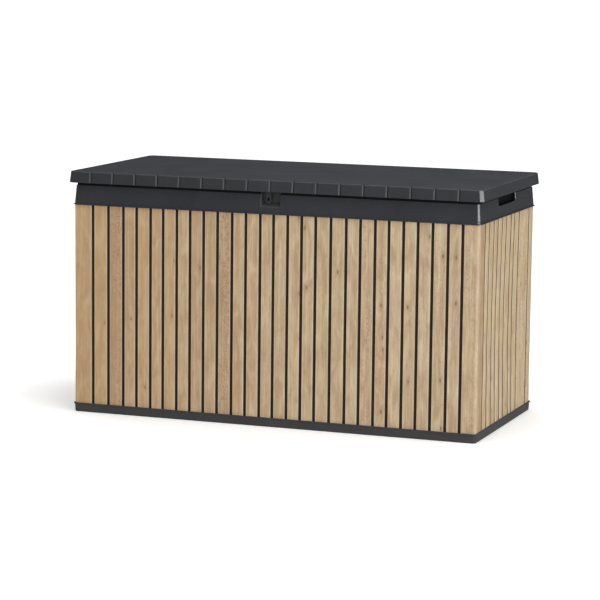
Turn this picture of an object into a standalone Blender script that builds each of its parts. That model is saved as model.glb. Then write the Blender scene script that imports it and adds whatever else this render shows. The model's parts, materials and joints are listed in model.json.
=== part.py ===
"""Deck storage box: slatted panels between a base tray and a moulded collar, with a
hinged lid held open by two gas struts.

Metres, +Z up. X runs along the length, the front faces -Y, and the origin is the middle
of the footprint on the ground. An "offset" is a distance outward from the slats' faces.
"""
import math

import bmesh
import bpy
from mathutils import Matrix, Vector

# ---------------------------------------------------------------- driving dimensions
MM = 0.001
LENGTH = 1.400            # outer faces of the slats, along X
DEPTH = 0.643             # outer faces of the slats, along Y
HALF_X = LENGTH / 2
HALF_Y = DEPTH / 2
GAP = 0.0003              # clearance between touching pieces

BASE_HEIGHT = 0.0305      # top of the base tray's lip
TRAY_FLOOR = 0.024
PANEL_THICK = 0.020
PANEL_BOTTOM = TRAY_FLOOR + GAP
PANEL_TOP = 0.710
CORNER_CUT = 0.005        # chamfer of the slatted corners
COLLAR_BOTTOM = 0.698
COLLAR_TOP = 0.788
COLLAR_INNER = -0.024     # offset of the collar's inner face
COLLAR_DRAFT = 0.0851     # how fast the collar's outer face leans in
LIP_TOP = 0.7015
POST_LEG = 0.030
POST_WALL = 0.004
POST_RISE = 0.0016          # how far a post stands up past the collar's lower edge
LID_BOTTOM = 0.772
LID_TOP = 0.810
LID_THICK = 0.0035

GROOVE_WIDE = 0.010
GROOVE_DEEP = 0.005
GROOVE_TAPER = 0.0008     # how much narrower a groove is at its floor, on each side
SEAM_CUT = 0.0015         # chamfer where two walls meet
FRONT_SLATS_MM = (67, 56, 54, 48, 50, 45, 49, 47, 48, 49, 51, 48, 50, 46,
                  49, 48, 48, 52, 52, 48, 50, 46, 49, 48, 49, 51, 48, 54)
SIDE_SLATS_MM = (51, 48, 53, 47, 50, 48, 57, 40, 56, 118, 35)

HINGE_Y = 0.3295          # the lid's hinge line
HINGE_Z = 0.7805
HINGE_XS = {"left": -0.45, "middle": 0.0, "right": 0.45}
HINGE_WIDE = 0.090
HINGE_BARREL_R = 0.0065
HINGE_PIN_R = 0.0025
HINGE_BORE_R = 0.0029
MOVING_KNUCKLE = 0.044
KNUCKLE_ROOM = 0.0005     # clearance at each end of the moving knuckle
LEAF_LOW = 0.736
LEAF_HIGH = 0.7735        # where the fixed leaf runs into its barrel
LEAF_TOP = 0.7855
LEAF_FACE_Y = 0.3242
LEAF_SCREW_Z = 0.753
ARM_WEB_Y = (0.3265, 0.3320)     # the web that joins the arm to its barrel
ARM_BARREL = (117.5, 423.2)      # the arm's share of the barrel, in degrees
ARM_SCREW_Y = 0.272
ARM_Z = (0.7897, 0.7927)
ARM_FRONT_Y = 0.252

LINER_BOTTOM = 0.7930
LINER_TOP = 0.8062
LINER_HALF = (0.698, 0.3215)
TUBE_YS = {"front": -0.105, "rear": 0.105}
TUBE_SIZE = (1.240, 0.024, 0.0085)
TUBE_LOW = 0.7938
TUBE_WALL = 0.0012
LINER_COLUMNS = 10
LINER_RIB = 0.006
LINER_ROOF = 0.004
LINER_ROWS_Y = ((-0.300, -0.125), (-0.085, 0.085), (0.125, 0.235))

STRUT_X = 0.655           # mid-plane of each gas strut
STRUT_FOOT = (0.240, 0.508)      # Y and Z of the pivot on the end panel
STRUT_HEAD = (0.245, 0.775)      # Y and Z of the pivot on the lid
STRUT_STUD_R = 0.004
STRUT_EYE_R = 0.009
CYLINDER_R = 0.009
CYLINDER_SPAN = (0.018, 0.175)   # distances from the foot pivot
ROD_R = 0.004
ROD_START = 0.030

GRIP_HALF_Y = 0.100       # the hand grips in the collar's ends
GRIP_Z = (0.736, 0.778)
GRIP_DEPTH = 0.0205
GRIP_ROUND = 0.010
LOCK_X = (-0.036, 0.030)  # the lock recess in the collar's front
LOCK_Z = 0.723
LOCK_SILL = 0.012         # how far the recess's floor rises towards its back
LOCK_DEPTH = 0.019
HASP_X = -0.011           # middle of the staple and of the lid's tongue
HASP_HALF = 0.009
EYE_R = 0.0045            # the padlock holes
EYE_Z = 0.748
TONGUE_Y = (0.3145, 0.3185)      # its plate, as distances in front of the middle
TONGUE_BOTTOM_R_Z = 0.742        # centre of its rounded foot
STAPLE_PLATE_Y = (-0.3138, -0.3098)
STAPLE_ARM = 0.003

FOOT_PLATE = (0.003, 0.017, 0.032)   # a strut's wall bracket: thickness, half width, half height
FOOT_STUD = (-0.0058, 0.0235)        # reach of its stud past the pivot, towards the wall
FOOT_SCREW_RISE = 0.022
HEAD_PLATE_HALF = 0.030              # the lid bracket: half its length along the lid
HEAD_PLATE_X = 0.640                 # its inner edge
HEAD_TAB_X = (0.669, 0.672)          # the tab that hangs from it
HEAD_TAB_BOTTOM = 0.763
HEAD_STUD = (0.0063, 0.0155)
HEAD_SCREW_X = 0.650
HEAD_SCREW_SHIFT = 0.020
ROD_END_NECK = 0.022                 # from the head pivot back to the bare rod

SCREW_HEAD_R = 0.004
SCREW_HEAD_H = 0.0019
SCREW_SHANK_R = 0.0018
SCREW_SHANK_L = 0.0105
SCREW_HOLE_R = 0.0023
ROUND = 20                # sides of a small round piece


# ---------------------------------------------------------------- scene and materials
def clear_scene():
    for old in list(bpy.data.objects):
        bpy.data.objects.remove(old, do_unlink=True)


def new_collection(name):
    made = bpy.data.collections.new(name)
    bpy.context.scene.collection.children.link(made)
    return made


def material(name, colour, roughness, metallic=0.0):
    made = bpy.data.materials.new(name)
    made.use_nodes = True
    shader = made.node_tree.nodes["Principled BSDF"]
    shader.inputs["Base Color"].default_value = (*colour, 1.0)
    shader.inputs["Roughness"].default_value = roughness
    shader.inputs["Metallic"].default_value = metallic
    return made


clear_scene()
BOX = new_collection("deck_storage_box")
CUTTERS = new_collection("cutters")
RESIN = material("anthracite_resin", (0.045, 0.047, 0.052), 0.55)
LID_RESIN = material("lid_resin", (0.058, 0.059, 0.063), 0.50)
WOOD = material("slat_wood", (0.52, 0.39, 0.23), 0.60)
STEEL = material("zinc_steel", (0.60, 0.60, 0.58), 0.30, 1.0)
BLACK_STEEL = material("black_steel", (0.03, 0.03, 0.03), 0.35, 0.8)


# ---------------------------------------------------------------- building blocks
def place(name, mesh, skin, collection=BOX):
    made = bpy.data.objects.new(name, mesh)
    collection.objects.link(made)
    if skin is not None and not mesh.materials:
        mesh.materials.append(skin)
    return made


def face_outward(work):
    bmesh.ops.recalc_face_normals(work, faces=work.faces)
    if work.calc_volume(signed=True) < 0:
        bmesh.ops.reverse_faces(work, faces=work.faces)


def from_bmesh(name, work, skin, collection=BOX):
    face_outward(work)
    mesh = bpy.data.meshes.new(name)
    work.to_mesh(mesh)
    work.free()
    return place(name, mesh, skin, collection)


def hide_tool(tool):
    tool.hide_render = True
    tool.display_type = "WIRE"
    return tool


def block(name, low, high, skin=None, collection=BOX):
    """An axis-aligned box between two corners."""
    low, high = Vector(low), Vector(high)
    work = bmesh.new()
    sizes = Matrix.Diagonal((*(high - low), 1.0))
    bmesh.ops.create_cube(work, size=1.0, matrix=Matrix.Translation((low + high) / 2) @ sizes)
    return from_bmesh(name, work, skin, collection)


def rod_between(name, start, end, radius, skin=None, collection=BOX, sides=ROUND):
    """A plain round bar between two points."""
    start, end = Vector(start), Vector(end)
    turn = (end - start).to_track_quat("Z", "Y").to_matrix().to_4x4()
    work = bmesh.new()
    bmesh.ops.create_cone(
        work, cap_ends=True, segments=sides, radius1=radius, radius2=radius,
        depth=(end - start).length, matrix=Matrix.Translation((start + end) / 2) @ turn)
    return from_bmesh(name, work, skin, collection)


def cutting_block(low, high):
    return hide_tool(block("cut_block", low, high, collection=CUTTERS))


def cutting_rod(start, end, radius, sides=ROUND):
    return hide_tool(rod_between("cut_rod", start, end, radius, None, CUTTERS, sides))


def combine(target, tool, operation="DIFFERENCE"):
    made = target.modifiers.new(operation.lower(), "BOOLEAN")
    made.operation = operation
    made.solver = "EXACT"
    made.object = tool


def extruded(name, outline, near, far, basis, skin=None, collection=BOX):
    """A flat outline filled and extruded between two distances along the basis' third axis."""
    curve = bpy.data.curves.new(name, "CURVE")
    curve.dimensions = "2D"
    curve.fill_mode = "BOTH"
    curve_half = (far - near) / 2
    curve.extrude = curve_half
    spline = curve.splines.new("POLY")
    spline.points.add(len(outline) - 1)
    for point, (u, v) in zip(spline.points, outline):
        point.co = (u, v, 0.0, 1.0)
    spline.use_cyclic_u = True
    drawn = bpy.data.objects.new(name + "_outline", curve)
    BOX.objects.link(drawn)
    ready = drawn.evaluated_get(bpy.context.evaluated_depsgraph_get())
    mesh = bpy.data.meshes.new_from_object(ready)
    bpy.data.objects.remove(drawn, do_unlink=True)
    bpy.data.curves.remove(curve)
    work = bmesh.new()
    work.from_mesh(mesh)
    bpy.data.meshes.remove(mesh)
    bmesh.ops.remove_doubles(work, verts=work.verts, dist=0.00001)
    for end in (-curve_half, curve_half):
        cap = [face for face in work.faces
               if all(abs(corner.co.z - end) < 0.00001 for corner in face.verts)]
        bmesh.ops.dissolve_faces(work, faces=cap)
    work.transform(basis @ Matrix.Translation((0, 0, (near + far) / 2)))
    return from_bmesh(name, work, skin, collection)


# An outline's own axes: plan view (X, Y), side view (Y, Z) and front view (X, Z).
PLAN = Matrix.Identity(4)
SIDE_VIEW = Matrix(((0, 0, 1, 0), (1, 0, 0, 0), (0, 1, 0, 0), (0, 0, 0, 1)))
FRONT_VIEW = Matrix(((1, 0, 0, 0), (0, 0, -1, 0), (0, 1, 0, 0), (0, 0, 0, 1)))


def arc(centre, radius, start, end, count):
    """Points along an arc, with its angles in degrees."""
    angles = [math.radians(start + (end - start) * i / count) for i in range(count + 1)]
    return [(centre[0] + radius * math.cos(a), centre[1] + radius * math.sin(a)) for a in angles]


def footprint(offset, cut):
    """The eight corners of the box's chamfered plan, grown by an offset."""
    x, y = HALF_X + offset, HALF_Y + offset
    return [(x - cut, -y), (x, -y + cut), (x, y - cut), (x - cut, y),
            (-x + cut, y), (-x, y - cut), (-x, -y + cut), (-x + cut, -y)]


def lofted(name, stations, skin, closed):
    """Joins chamfered plans, each (offset, height, cut), into a solid.

    A closed loop of stations makes a ring; an open list is capped at both ends.
    """
    work = bmesh.new()
    loops = [[work.verts.new((x, y, height)) for x, y in footprint(offset, cut)]
             for offset, height, cut in stations]
    pairs = list(zip(loops, loops[1:]))
    if closed:
        pairs.append((loops[-1], loops[0]))
    else:
        work.faces.new(loops[0])
        work.faces.new(loops[-1])
    for lower, upper in pairs:
        for i in range(8):
            j = (i + 1) % 8
            work.faces.new((lower[i], lower[j], upper[j], upper[i]))
    return from_bmesh(name, work, skin)


def turned(name, mesh, skin, sides, collection=BOX):
    """A profile mesh in the X-Z plane turned round Z."""
    made = place(name, mesh, skin, collection)
    spin = made.modifiers.new("turn", "SCREW")
    spin.steps = sides
    spin.render_steps = sides
    spin.use_merge_vertices = True
    spin.merge_threshold = 0.00005
    return made


def profile_mesh(name, points):
    mesh = bpy.data.meshes.new(name)
    edges = [(i, i + 1) for i in range(len(points) - 1)]
    mesh.from_pydata([(x, 0.0, z) for x, z in points], edges, [])
    return mesh


def axis_empty(name, location, parent=None):
    """A joint's axis: the empty that carries the pieces which move about it."""
    made = bpy.data.objects.new(name, None)
    made.empty_display_size = 0.05
    BOX.objects.link(made)
    made.location = location
    bpy.context.view_layer.update()
    if parent is not None:
        carry(parent, made)
    return made


def carry(parent, *pieces):
    for piece in pieces:
        piece.parent = parent
        piece.matrix_parent_inverse = parent.matrix_world.inverted()
    bpy.context.view_layer.update()


# ---------------------------------------------------------------- screws
SCREW_PROFILE = profile_mesh("screw_profile", [
    (0.0, SCREW_HEAD_H), (SCREW_HEAD_R * 0.6, SCREW_HEAD_H),
    (SCREW_HEAD_R, SCREW_HEAD_H * 0.45), (SCREW_HEAD_R, 0.0),
    (SCREW_SHANK_R, 0.0), (SCREW_SHANK_R, -SCREW_SHANK_L), (0.0, -SCREW_SHANK_L)])
SCREW_SIDES = 10


def screw(name, seat, outward, threaded):
    """A pan-head screw with its head on a seat, and its holes in the pieces it holds."""
    seat, outward = Vector(seat), Vector(outward)
    made = turned(name, SCREW_PROFILE, STEEL, SCREW_SIDES)
    made.rotation_euler = outward.to_track_quat("Z", "Y").to_euler()
    made.location = seat + outward * GAP
    hole = cutting_rod(seat + outward * 0.002, seat - outward * (SCREW_SHANK_L + GAP),
                       SCREW_HOLE_R, SCREW_SIDES)
    for piece in threaded:
        combine(piece, hole)
    return made


# ---------------------------------------------------------------- base and walls
def base_tray():
    """The plinth: a drafted skirt with a thin lip round the foot of the walls."""
    return lofted("base_tray", [
        (0.0010, 0.0, 0.007), (0.0025, BASE_HEIGHT - 0.0040, 0.007),
        (0.0057, BASE_HEIGHT - 0.0035, 0.008), (0.0057, BASE_HEIGHT, 0.008),
        (GAP, BASE_HEIGHT, CORNER_CUT), (GAP, TRAY_FLOOR, CORNER_CUT)], RESIN, closed=False)


def slatted_outline(widths_mm, end_points):
    """A panel's plan: slats divided by grooves along v = 0, and a plain back."""
    total = sum(widths_mm) * MM
    points = list(end_points[0])
    edge = -total / 2
    for width in widths_mm[:-1]:
        edge += width * MM
        half = GROOVE_WIDE / 2
        floor = half - GROOVE_TAPER
        points += [(edge - half, 0.0), (edge - floor, GROOVE_DEEP),
                   (edge + floor, GROOVE_DEEP), (edge + half, 0.0)]
    return points + list(end_points[1])


def long_panel(name, facing):
    """The front or back wall, whose chamfered ends cover the end panels' edges."""
    half = HALF_X
    left = [(-half + SEAM_CUT, PANEL_THICK), (-half, PANEL_THICK - SEAM_CUT),
            (-half, CORNER_CUT), (-half + CORNER_CUT, 0.0)]
    right = [(-x, y) for x, y in reversed(left)]
    outline = slatted_outline(FRONT_SLATS_MM, (left, right))
    turn = Matrix.Rotation(0.0 if facing < 0 else math.pi, 4, "Z")
    basis = turn @ Matrix.Translation((0, -HALF_Y, 0))
    return extruded(name, outline, PANEL_BOTTOM, PANEL_TOP, basis, WOOD)


def end_panel(name, facing):
    """A short wall that stands between the long ones."""
    half = HALF_Y - PANEL_THICK - GAP
    left = [(-half, PANEL_THICK), (-half, SEAM_CUT), (-half + SEAM_CUT, 0.0)]
    right = [(-x, y) for x, y in reversed(left)]
    scale = 2 * half / (sum(SIDE_SLATS_MM) * MM)
    widths = [width * scale for width in SIDE_SLATS_MM]
    outline = slatted_outline(widths, (left, right))
    turn = Matrix.Rotation(math.radians(90 * facing), 4, "Z")
    basis = turn @ Matrix.Translation((0, -HALF_X, 0))
    return extruded(name, outline, PANEL_BOTTOM, PANEL_TOP, basis, WOOD)


def corner_post(name, side_x, side_y):
    """An L-section inside a corner that ties two walls together."""
    leg, wall = POST_LEG, POST_WALL
    x = HALF_X - PANEL_THICK - GAP
    y = HALF_Y - PANEL_THICK - 2 * GAP
    shape = [(x, y), (x - leg, y), (x - leg, y - wall), (x - wall, y - wall),
             (x - wall, y - leg), (x, y - leg)]
    outline = [(side_x * u, side_y * v) for u, v in shape]
    return extruded(name, outline, PANEL_BOTTOM, COLLAR_BOTTOM + POST_RISE, PLAN, RESIN)


def collar_offset(height):
    """The collar's drafted outer face."""
    return 0.002 - COLLAR_DRAFT * (height - LIP_TOP)


def top_frame():
    """The collar that caps the walls, with hand grips in its ends and a lock recess."""
    inner = -PANEL_THICK - GAP
    frame = lofted("top_frame", [
        (GAP, COLLAR_BOTTOM, CORNER_CUT), (0.006, COLLAR_BOTTOM, 0.009),
        (0.006, COLLAR_BOTTOM + 0.003, 0.009), (0.002, LIP_TOP, 0.008),
        (collar_offset(COLLAR_TOP), COLLAR_TOP, 0.008), (COLLAR_INNER, COLLAR_TOP, 0.001),
        (COLLAR_INNER, COLLAR_BOTTOM + 0.002, 0.001), (inner, COLLAR_BOTTOM + 0.002, 0.0004),
        (inner, PANEL_TOP + GAP, 0.0004), (GAP, PANEL_TOP + GAP, CORNER_CUT)], RESIN, closed=True)
    for side in (-1, 1):
        y, (low, high), radius = GRIP_HALF_Y, GRIP_Z, GRIP_ROUND
        outline = (arc((y - radius, low + radius), radius, -90, 0, 4)
                   + arc((y - radius, high - radius), radius, 0, 90, 4)
                   + arc((-y + radius, high - radius), radius, 90, 180, 4)
                   + arc((-y + radius, low + radius), radius, 180, 270, 4))
        reach = sorted((side * (HALF_X + 0.02), side * (HALF_X - GRIP_DEPTH)))
        grip = extruded("cut_grip", outline, reach[0], reach[1], SIDE_VIEW, collection=CUTTERS)
        combine(frame, hide_tool(grip))
    back = -HALF_Y + LOCK_DEPTH
    recess = [(-HALF_Y - 0.02, LOCK_Z), (-HALF_Y + 0.001, LOCK_Z), (back, LOCK_Z + LOCK_SILL),
              (back, COLLAR_TOP + 0.01), (-HALF_Y - 0.02, COLLAR_TOP + 0.01)]
    lock = extruded("cut_lock", recess, LOCK_X[0], LOCK_X[1], SIDE_VIEW, collection=CUTTERS)
    combine(frame, hide_tool(lock))
    return frame


def lock_staple():
    """The padlock eye that stands in the recess behind the lid's tongue."""
    wall = -HALF_Y + LOCK_DEPTH - GAP
    foot = wall - STAPLE_ARM
    out, back = STAPLE_PLATE_Y
    low, high, top = 0.738, 0.757, 0.768
    inner = low + STAPLE_ARM
    shape = [(wall, top), (foot, top), (foot, inner), (back, inner),
             (back, high), (out, high), (out, low), (wall, low)]
    staple = extruded("lock_staple", shape, HASP_X - HASP_HALF, HASP_X + HASP_HALF,
                      SIDE_VIEW, RESIN)
    combine(staple, cutting_rod((HASP_X, out - 0.006, EYE_Z), (HASP_X, back + 0.002, EYE_Z),
                                EYE_R, 16))
    return staple


# ---------------------------------------------------------------- hinges
def barrel(start, end, count):
    """Points round the hinge barrel."""
    return arc((HINGE_Y, HINGE_Z), HINGE_BARREL_R, start, end, count)


def fixed_leaf(name, x, frame):
    """The leaf on the collar's back, with a knuckle at each end."""
    def back(height):
        return HALF_Y + collar_offset(height) + GAP
    shape = ([(back(LEAF_LOW), LEAF_LOW), (LEAF_FACE_Y, LEAF_LOW), (LEAF_FACE_Y, LEAF_HIGH)]
             + barrel(-130, 130, 14) + [(back(LEAF_TOP), LEAF_TOP)])
    half = HINGE_WIDE / 2
    leaf = extruded(name, shape, x - half, x + half, SIDE_VIEW, STEEL)
    room = MOVING_KNUCKLE / 2 + KNUCKLE_ROOM
    combine(leaf, cutting_block((x - room, LEAF_FACE_Y - 0.0018, LEAF_HIGH),
                                (x + room, HINGE_Y + 0.0155, HINGE_Z + 0.0145)))
    axis = ((x - half - 0.01, HINGE_Y, HINGE_Z), (x + half + 0.01, HINGE_Y, HINGE_Z))
    combine(leaf, cutting_rod(*axis, HINGE_BORE_R))
    for side, shift in (("a", -0.030), ("b", 0.030)):
        screw(f"{name}_screw_{side}", (x + shift, LEAF_FACE_Y, LEAF_SCREW_Z),
              (0, 1, 0), (leaf, frame))
    return leaf


def moving_leaf(name, x, liner):
    """The arm under the lid, turning on the pin between the fixed knuckles."""
    web_in, web_out = ARM_WEB_Y
    low, high = ARM_Z
    shape = ([(ARM_FRONT_Y, low), (web_in, low)] + barrel(*ARM_BARREL, 16)
             + [(web_out, high), (ARM_FRONT_Y, high)])
    half = MOVING_KNUCKLE / 2
    leaf = extruded(name, shape, x - half, x + half, SIDE_VIEW, STEEL)
    axis = ((x - half - 0.01, HINGE_Y, HINGE_Z), (x + half + 0.01, HINGE_Y, HINGE_Z))
    combine(leaf, cutting_rod(*axis, HINGE_BORE_R))
    screws = [screw(f"{name}_screw_{side}", (x + shift, ARM_SCREW_Y, low), (0, 0, -1), (leaf, liner))
              for side, shift in (("a", -0.012), ("b", 0.012))]
    return [leaf] + screws


def hinge_pin(name, x):
    half = HINGE_WIDE / 2 + 0.002
    return rod_between(name, (x - half, HINGE_Y, HINGE_Z), (x + half, HINGE_Y, HINGE_Z),
                       HINGE_PIN_R, STEEL)


# ---------------------------------------------------------------- lid
LID_GROOVES = 17
LID_FOOT = 0.0160         # offset of the skirt's foot
LID_LEAN = 0.0038         # how far the skirt's draft moves its face over its height
LID_GROOVE_HALF = 0.0095  # of the cutter, 3 mm in front of the skirt
LID_GROOVE_FALL = 0.0026


def lid_shell():
    """The lid's skin: a flat top and a drafted skirt, its front divided by V-grooves."""
    shell = lofted("lid_shell", [
        (0.0085, LID_TOP - LID_THICK, 0.010), (0.0125, LID_BOTTOM, 0.010),
        (LID_FOOT, LID_BOTTOM, 0.012), (LID_FOOT - LID_LEAN, LID_TOP - 0.0015, 0.012),
        (0.0105, LID_TOP, 0.012)], LID_RESIN, closed=False)
    face_y = -HALF_Y - LID_FOOT
    lean = Matrix.Rotation(-math.atan2(LID_LEAN, LID_TOP - LID_BOTTOM), 4, "X")
    basis = Matrix.Translation((0, face_y, LID_BOTTOM)) @ lean
    pitch = 2 * (HALF_X + 0.0145) / (LID_GROOVES + 1)
    for i in range(LID_GROOVES):
        x = (i + 1) * pitch - (LID_GROOVES + 1) * pitch / 2
        outline = [(x - LID_GROOVE_HALF, -0.003), (x + LID_GROOVE_HALF, -0.003),
                   (x, LID_GROOVE_FALL)]
        notch = extruded("cut_groove", outline, -0.01, 0.06, basis, collection=CUTTERS)
        combine(shell, hide_tool(notch))
    for x in HINGE_XS.values():
        half = HINGE_WIDE / 2 + 0.003
        low = (x - half, HINGE_Y - 0.0005, LID_BOTTOM - 0.01)
        combine(shell, cutting_block(low, (x + half, 0.36, 0.7940)))
    return shell


def lid_liner():
    """The ribbed inner panel that stiffens the lid and takes its screws."""
    x, y = LINER_HALF
    liner = block("lid_liner", (-x, -y, LINER_BOTTOM), (x, y, LINER_TOP), RESIN)
    below = LINER_BOTTOM - 0.01
    length, width, height = TUBE_SIZE
    for tube_y in TUBE_YS.values():
        half = width / 2 + GAP
        combine(liner, cutting_block((-length / 2 - GAP, tube_y - half, below),
                                     (length / 2 + GAP, tube_y + half, TUBE_LOW + height + GAP)))
    pitch = length / LINER_COLUMNS
    for low_y, high_y in LINER_ROWS_Y:
        for i in range(LINER_COLUMNS):
            left = -length / 2 + i * pitch + LINER_RIB / 2
            combine(liner, cutting_block((left, low_y, below),
                                         (left + pitch - LINER_RIB, high_y,
                                          LINER_TOP - LINER_ROOF)))
    return liner


def stiffener_tube(name, y):
    """A flat steel tube let into the liner."""
    length, width, height = TUBE_SIZE
    low, wall = TUBE_LOW, TUBE_WALL
    tube = block(name, (-length / 2, y - width / 2, low),
                 (length / 2, y + width / 2, low + height), BLACK_STEEL)
    combine(tube, cutting_block((-length, y - width / 2 + wall, low + wall),
                                (length, y + width / 2 - wall, low + height - wall)))
    return tube


def lock_tongue():
    """The lid's tongue, whose arched eye drops in front of the staple."""
    low, high = ARM_Z
    near, far = TONGUE_Y
    outline = ([(HASP_X - HASP_HALF, high), (HASP_X - HASP_HALF, TONGUE_BOTTOM_R_Z)]
               + arc((HASP_X, TONGUE_BOTTOM_R_Z), HASP_HALF, 180, 360, 10)[1:]
               + [(HASP_X + HASP_HALF, high)])
    tongue = extruded("lock_tongue", outline, near, far, FRONT_VIEW, RESIN)
    flange = hide_tool(block("join_flange", (HASP_X - 0.008, -0.317, low + 0.0002),
                             (HASP_X + 0.008, -0.285, high - 0.0002), collection=CUTTERS))
    combine(tongue, flange, "UNION")
    eye_foot = EYE_Z - 0.0085
    eye = ([(HASP_X - EYE_R, eye_foot), (HASP_X + EYE_R, eye_foot)]
           + arc((HASP_X, EYE_Z), EYE_R, 0, 180, 8))
    arch = extruded("cut_eye", eye, near - 0.005, far + 0.005, FRONT_VIEW, collection=CUTTERS)
    combine(tongue, hide_tool(arch))
    return tongue


# ---------------------------------------------------------------- gas struts
def strut(side, name, wall_panel, liner):
    """One gas strut with its brackets: the foot on an end panel, the head on the lid.

    Returns the pieces that swing, the pieces that slide and the pieces on the lid.
    """
    x = side * STRUT_X
    foot = Vector((x, *STRUT_FOOT))
    head = Vector((x, *STRUT_HEAD))
    reach = (head - foot).length
    lean = math.atan2(head.y - foot.y, head.z - foot.z)
    frame = Matrix.Translation(foot) @ Matrix.Rotation(-lean, 4, "X")
    along = (head - foot).normalized()
    stud_axis = Vector((side, 0, 0))

    def plate(label, low, high):
        xs = sorted((side * low[0], side * high[0]))
        return block(label, (xs[0], *low[1:]), (xs[1], *high[1:]), STEEL)

    def stud(label, centre, start, end):
        return hide_tool(rod_between(label, centre + stud_axis * start, centre + stud_axis * end,
                                     STRUT_STUD_R, None, CUTTERS))

    wall_x = HALF_X - PANEL_THICK - GAP
    thick, half_wide, half_high = FOOT_PLATE
    foot_bracket = plate(f"{name}_foot_bracket",
                         (wall_x - thick, foot.y - half_wide, foot.z - half_high),
                         (wall_x, foot.y + half_wide, foot.z + half_high))
    combine(foot_bracket, stud("join_stud", foot, *FOOT_STUD), "UNION")
    for label, rise in (("low", -FOOT_SCREW_RISE), ("high", FOOT_SCREW_RISE)):
        screw(f"{name}_foot_screw_{label}", (side * (wall_x - thick), foot.y, foot.z + rise),
              -stud_axis, (foot_bracket, wall_panel))

    def end_fitting(label, centre, radius, neck_half, neck_end, half_thick, skin):
        """A rounded eye with a straight neck, drawn in the strut's own plane."""
        away = 1 if neck_end > centre else -1
        tip = math.degrees(math.asin(neck_half / radius))
        start = 90 + tip if away > 0 else -90 + tip
        outline = (arc((0, centre), radius, start, start + 360 - 2 * tip, 16)
                   + [(away * neck_half, neck_end), (-away * neck_half, neck_end)])
        return extruded(label, outline, -half_thick, half_thick, frame @ SIDE_VIEW, skin)

    cylinder_end = end_fitting(f"{name}_cylinder_end", 0.0, STRUT_EYE_R, 0.006,
                               CYLINDER_SPAN[0] - GAP, 0.005, RESIN)
    combine(cylinder_end, cutting_rod(foot - stud_axis * 0.02, foot + stud_axis * 0.02,
                                      STRUT_STUD_R + 0.0004))
    low, high = CYLINDER_SPAN
    bore, inside = ROD_R + 0.0004, CYLINDER_R - 0.0015
    profile = profile_mesh(f"{name}_cylinder_profile", [
        (0.0, low + 0.004), (inside, low + 0.004), (inside, high - 0.008), (bore, high - 0.008),
        (bore, high), (CYLINDER_R - 0.001, high), (CYLINDER_R, high - 0.001),
        (CYLINDER_R, low), (0.0, low)])
    cylinder = turned(f"{name}_cylinder", profile, BLACK_STEEL, 24)
    cylinder.location = foot
    cylinder.rotation_euler = (-lean, 0, 0)
    neck = reach - ROD_END_NECK
    rod = rod_between(f"{name}_rod", foot + along * ROD_START, foot + along * (neck - GAP),
                      ROD_R, STEEL)
    rod_end = end_fitting(f"{name}_rod_end", reach, 0.007, 0.005, neck, 0.006, RESIN)

    plate_low, plate_high = ARM_Z
    edge, tab_in, tab_out = (side * at for at in (HEAD_PLATE_X, *HEAD_TAB_X))
    shape = [(edge, plate_low), (tab_in, plate_low), (tab_in, HEAD_TAB_BOTTOM),
             (tab_out, HEAD_TAB_BOTTOM), (tab_out, plate_high), (edge, plate_high)]
    head_bracket = extruded(f"{name}_head_bracket", shape, -head.y - HEAD_PLATE_HALF,
                            -head.y + HEAD_PLATE_HALF, FRONT_VIEW, STEEL)
    combine(head_bracket, stud("join_ball_stud", head, *HEAD_STUD), "UNION")
    on_lid = [head_bracket]
    for label, shift in (("front", -HEAD_SCREW_SHIFT), ("rear", HEAD_SCREW_SHIFT)):
        on_lid.append(screw(f"{name}_head_screw_{label}",
                            (side * HEAD_SCREW_X, head.y + shift, plate_low), (0, 0, -1),
                            (head_bracket, liner)))
    return [cylinder_end, cylinder], [rod, rod_end], on_lid


# ---------------------------------------------------------------- assembly
def build():
    base_tray()
    long_panel("front_panel", -1)
    long_panel("back_panel", 1)
    walls = {side: end_panel(name, side) for side, name in ((-1, "left_panel"), (1, "right_panel"))}
    for name, side_x, side_y in (("front_left", -1, -1), ("front_right", 1, -1),
                                 ("back_left", -1, 1), ("back_right", 1, 1)):
        corner_post(f"corner_post_{name}", side_x, side_y)
    frame = top_frame()
    lock_staple()

    liner = lid_liner()
    on_lid = [lid_shell(), liner, lock_tongue()]
    on_lid += [stiffener_tube(f"lid_tube_{name}", y) for name, y in TUBE_YS.items()]
    for name, x in HINGE_XS.items():
        fixed_leaf(f"hinge_{name}_fixed_leaf", x, frame)
        hinge_pin(f"hinge_{name}_pin", x)
        on_lid += moving_leaf(f"hinge_{name}_moving_leaf", x, liner)

    lid_axis = axis_empty("lid_axis", (0, HINGE_Y, HINGE_Z))
    for side, name in ((-1, "left_strut"), (1, "right_strut")):
        swinging, sliding, head_pieces = strut(side, name, walls[side], liner)
        swing_axis = axis_empty(f"{name}_foot_axis", (side * STRUT_X, *STRUT_FOOT))
        slide_axis = axis_empty(f"{name}_rod_axis", (side * STRUT_X, *STRUT_FOOT), swing_axis)
        carry(swing_axis, *swinging)
        carry(slide_axis, *sliding)
        on_lid += head_pieces
    carry(lid_axis, *on_lid)


build()
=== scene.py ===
"""Looks of the deck storage box: slatted walls, moulded collar, lid and plinth, steelwork,
studio and camera. Metres, +Z up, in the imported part's own frame: the front faces -Y."""
import json
import math
import random

import bmesh
import bpy
from mathutils import Matrix, Vector

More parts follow.
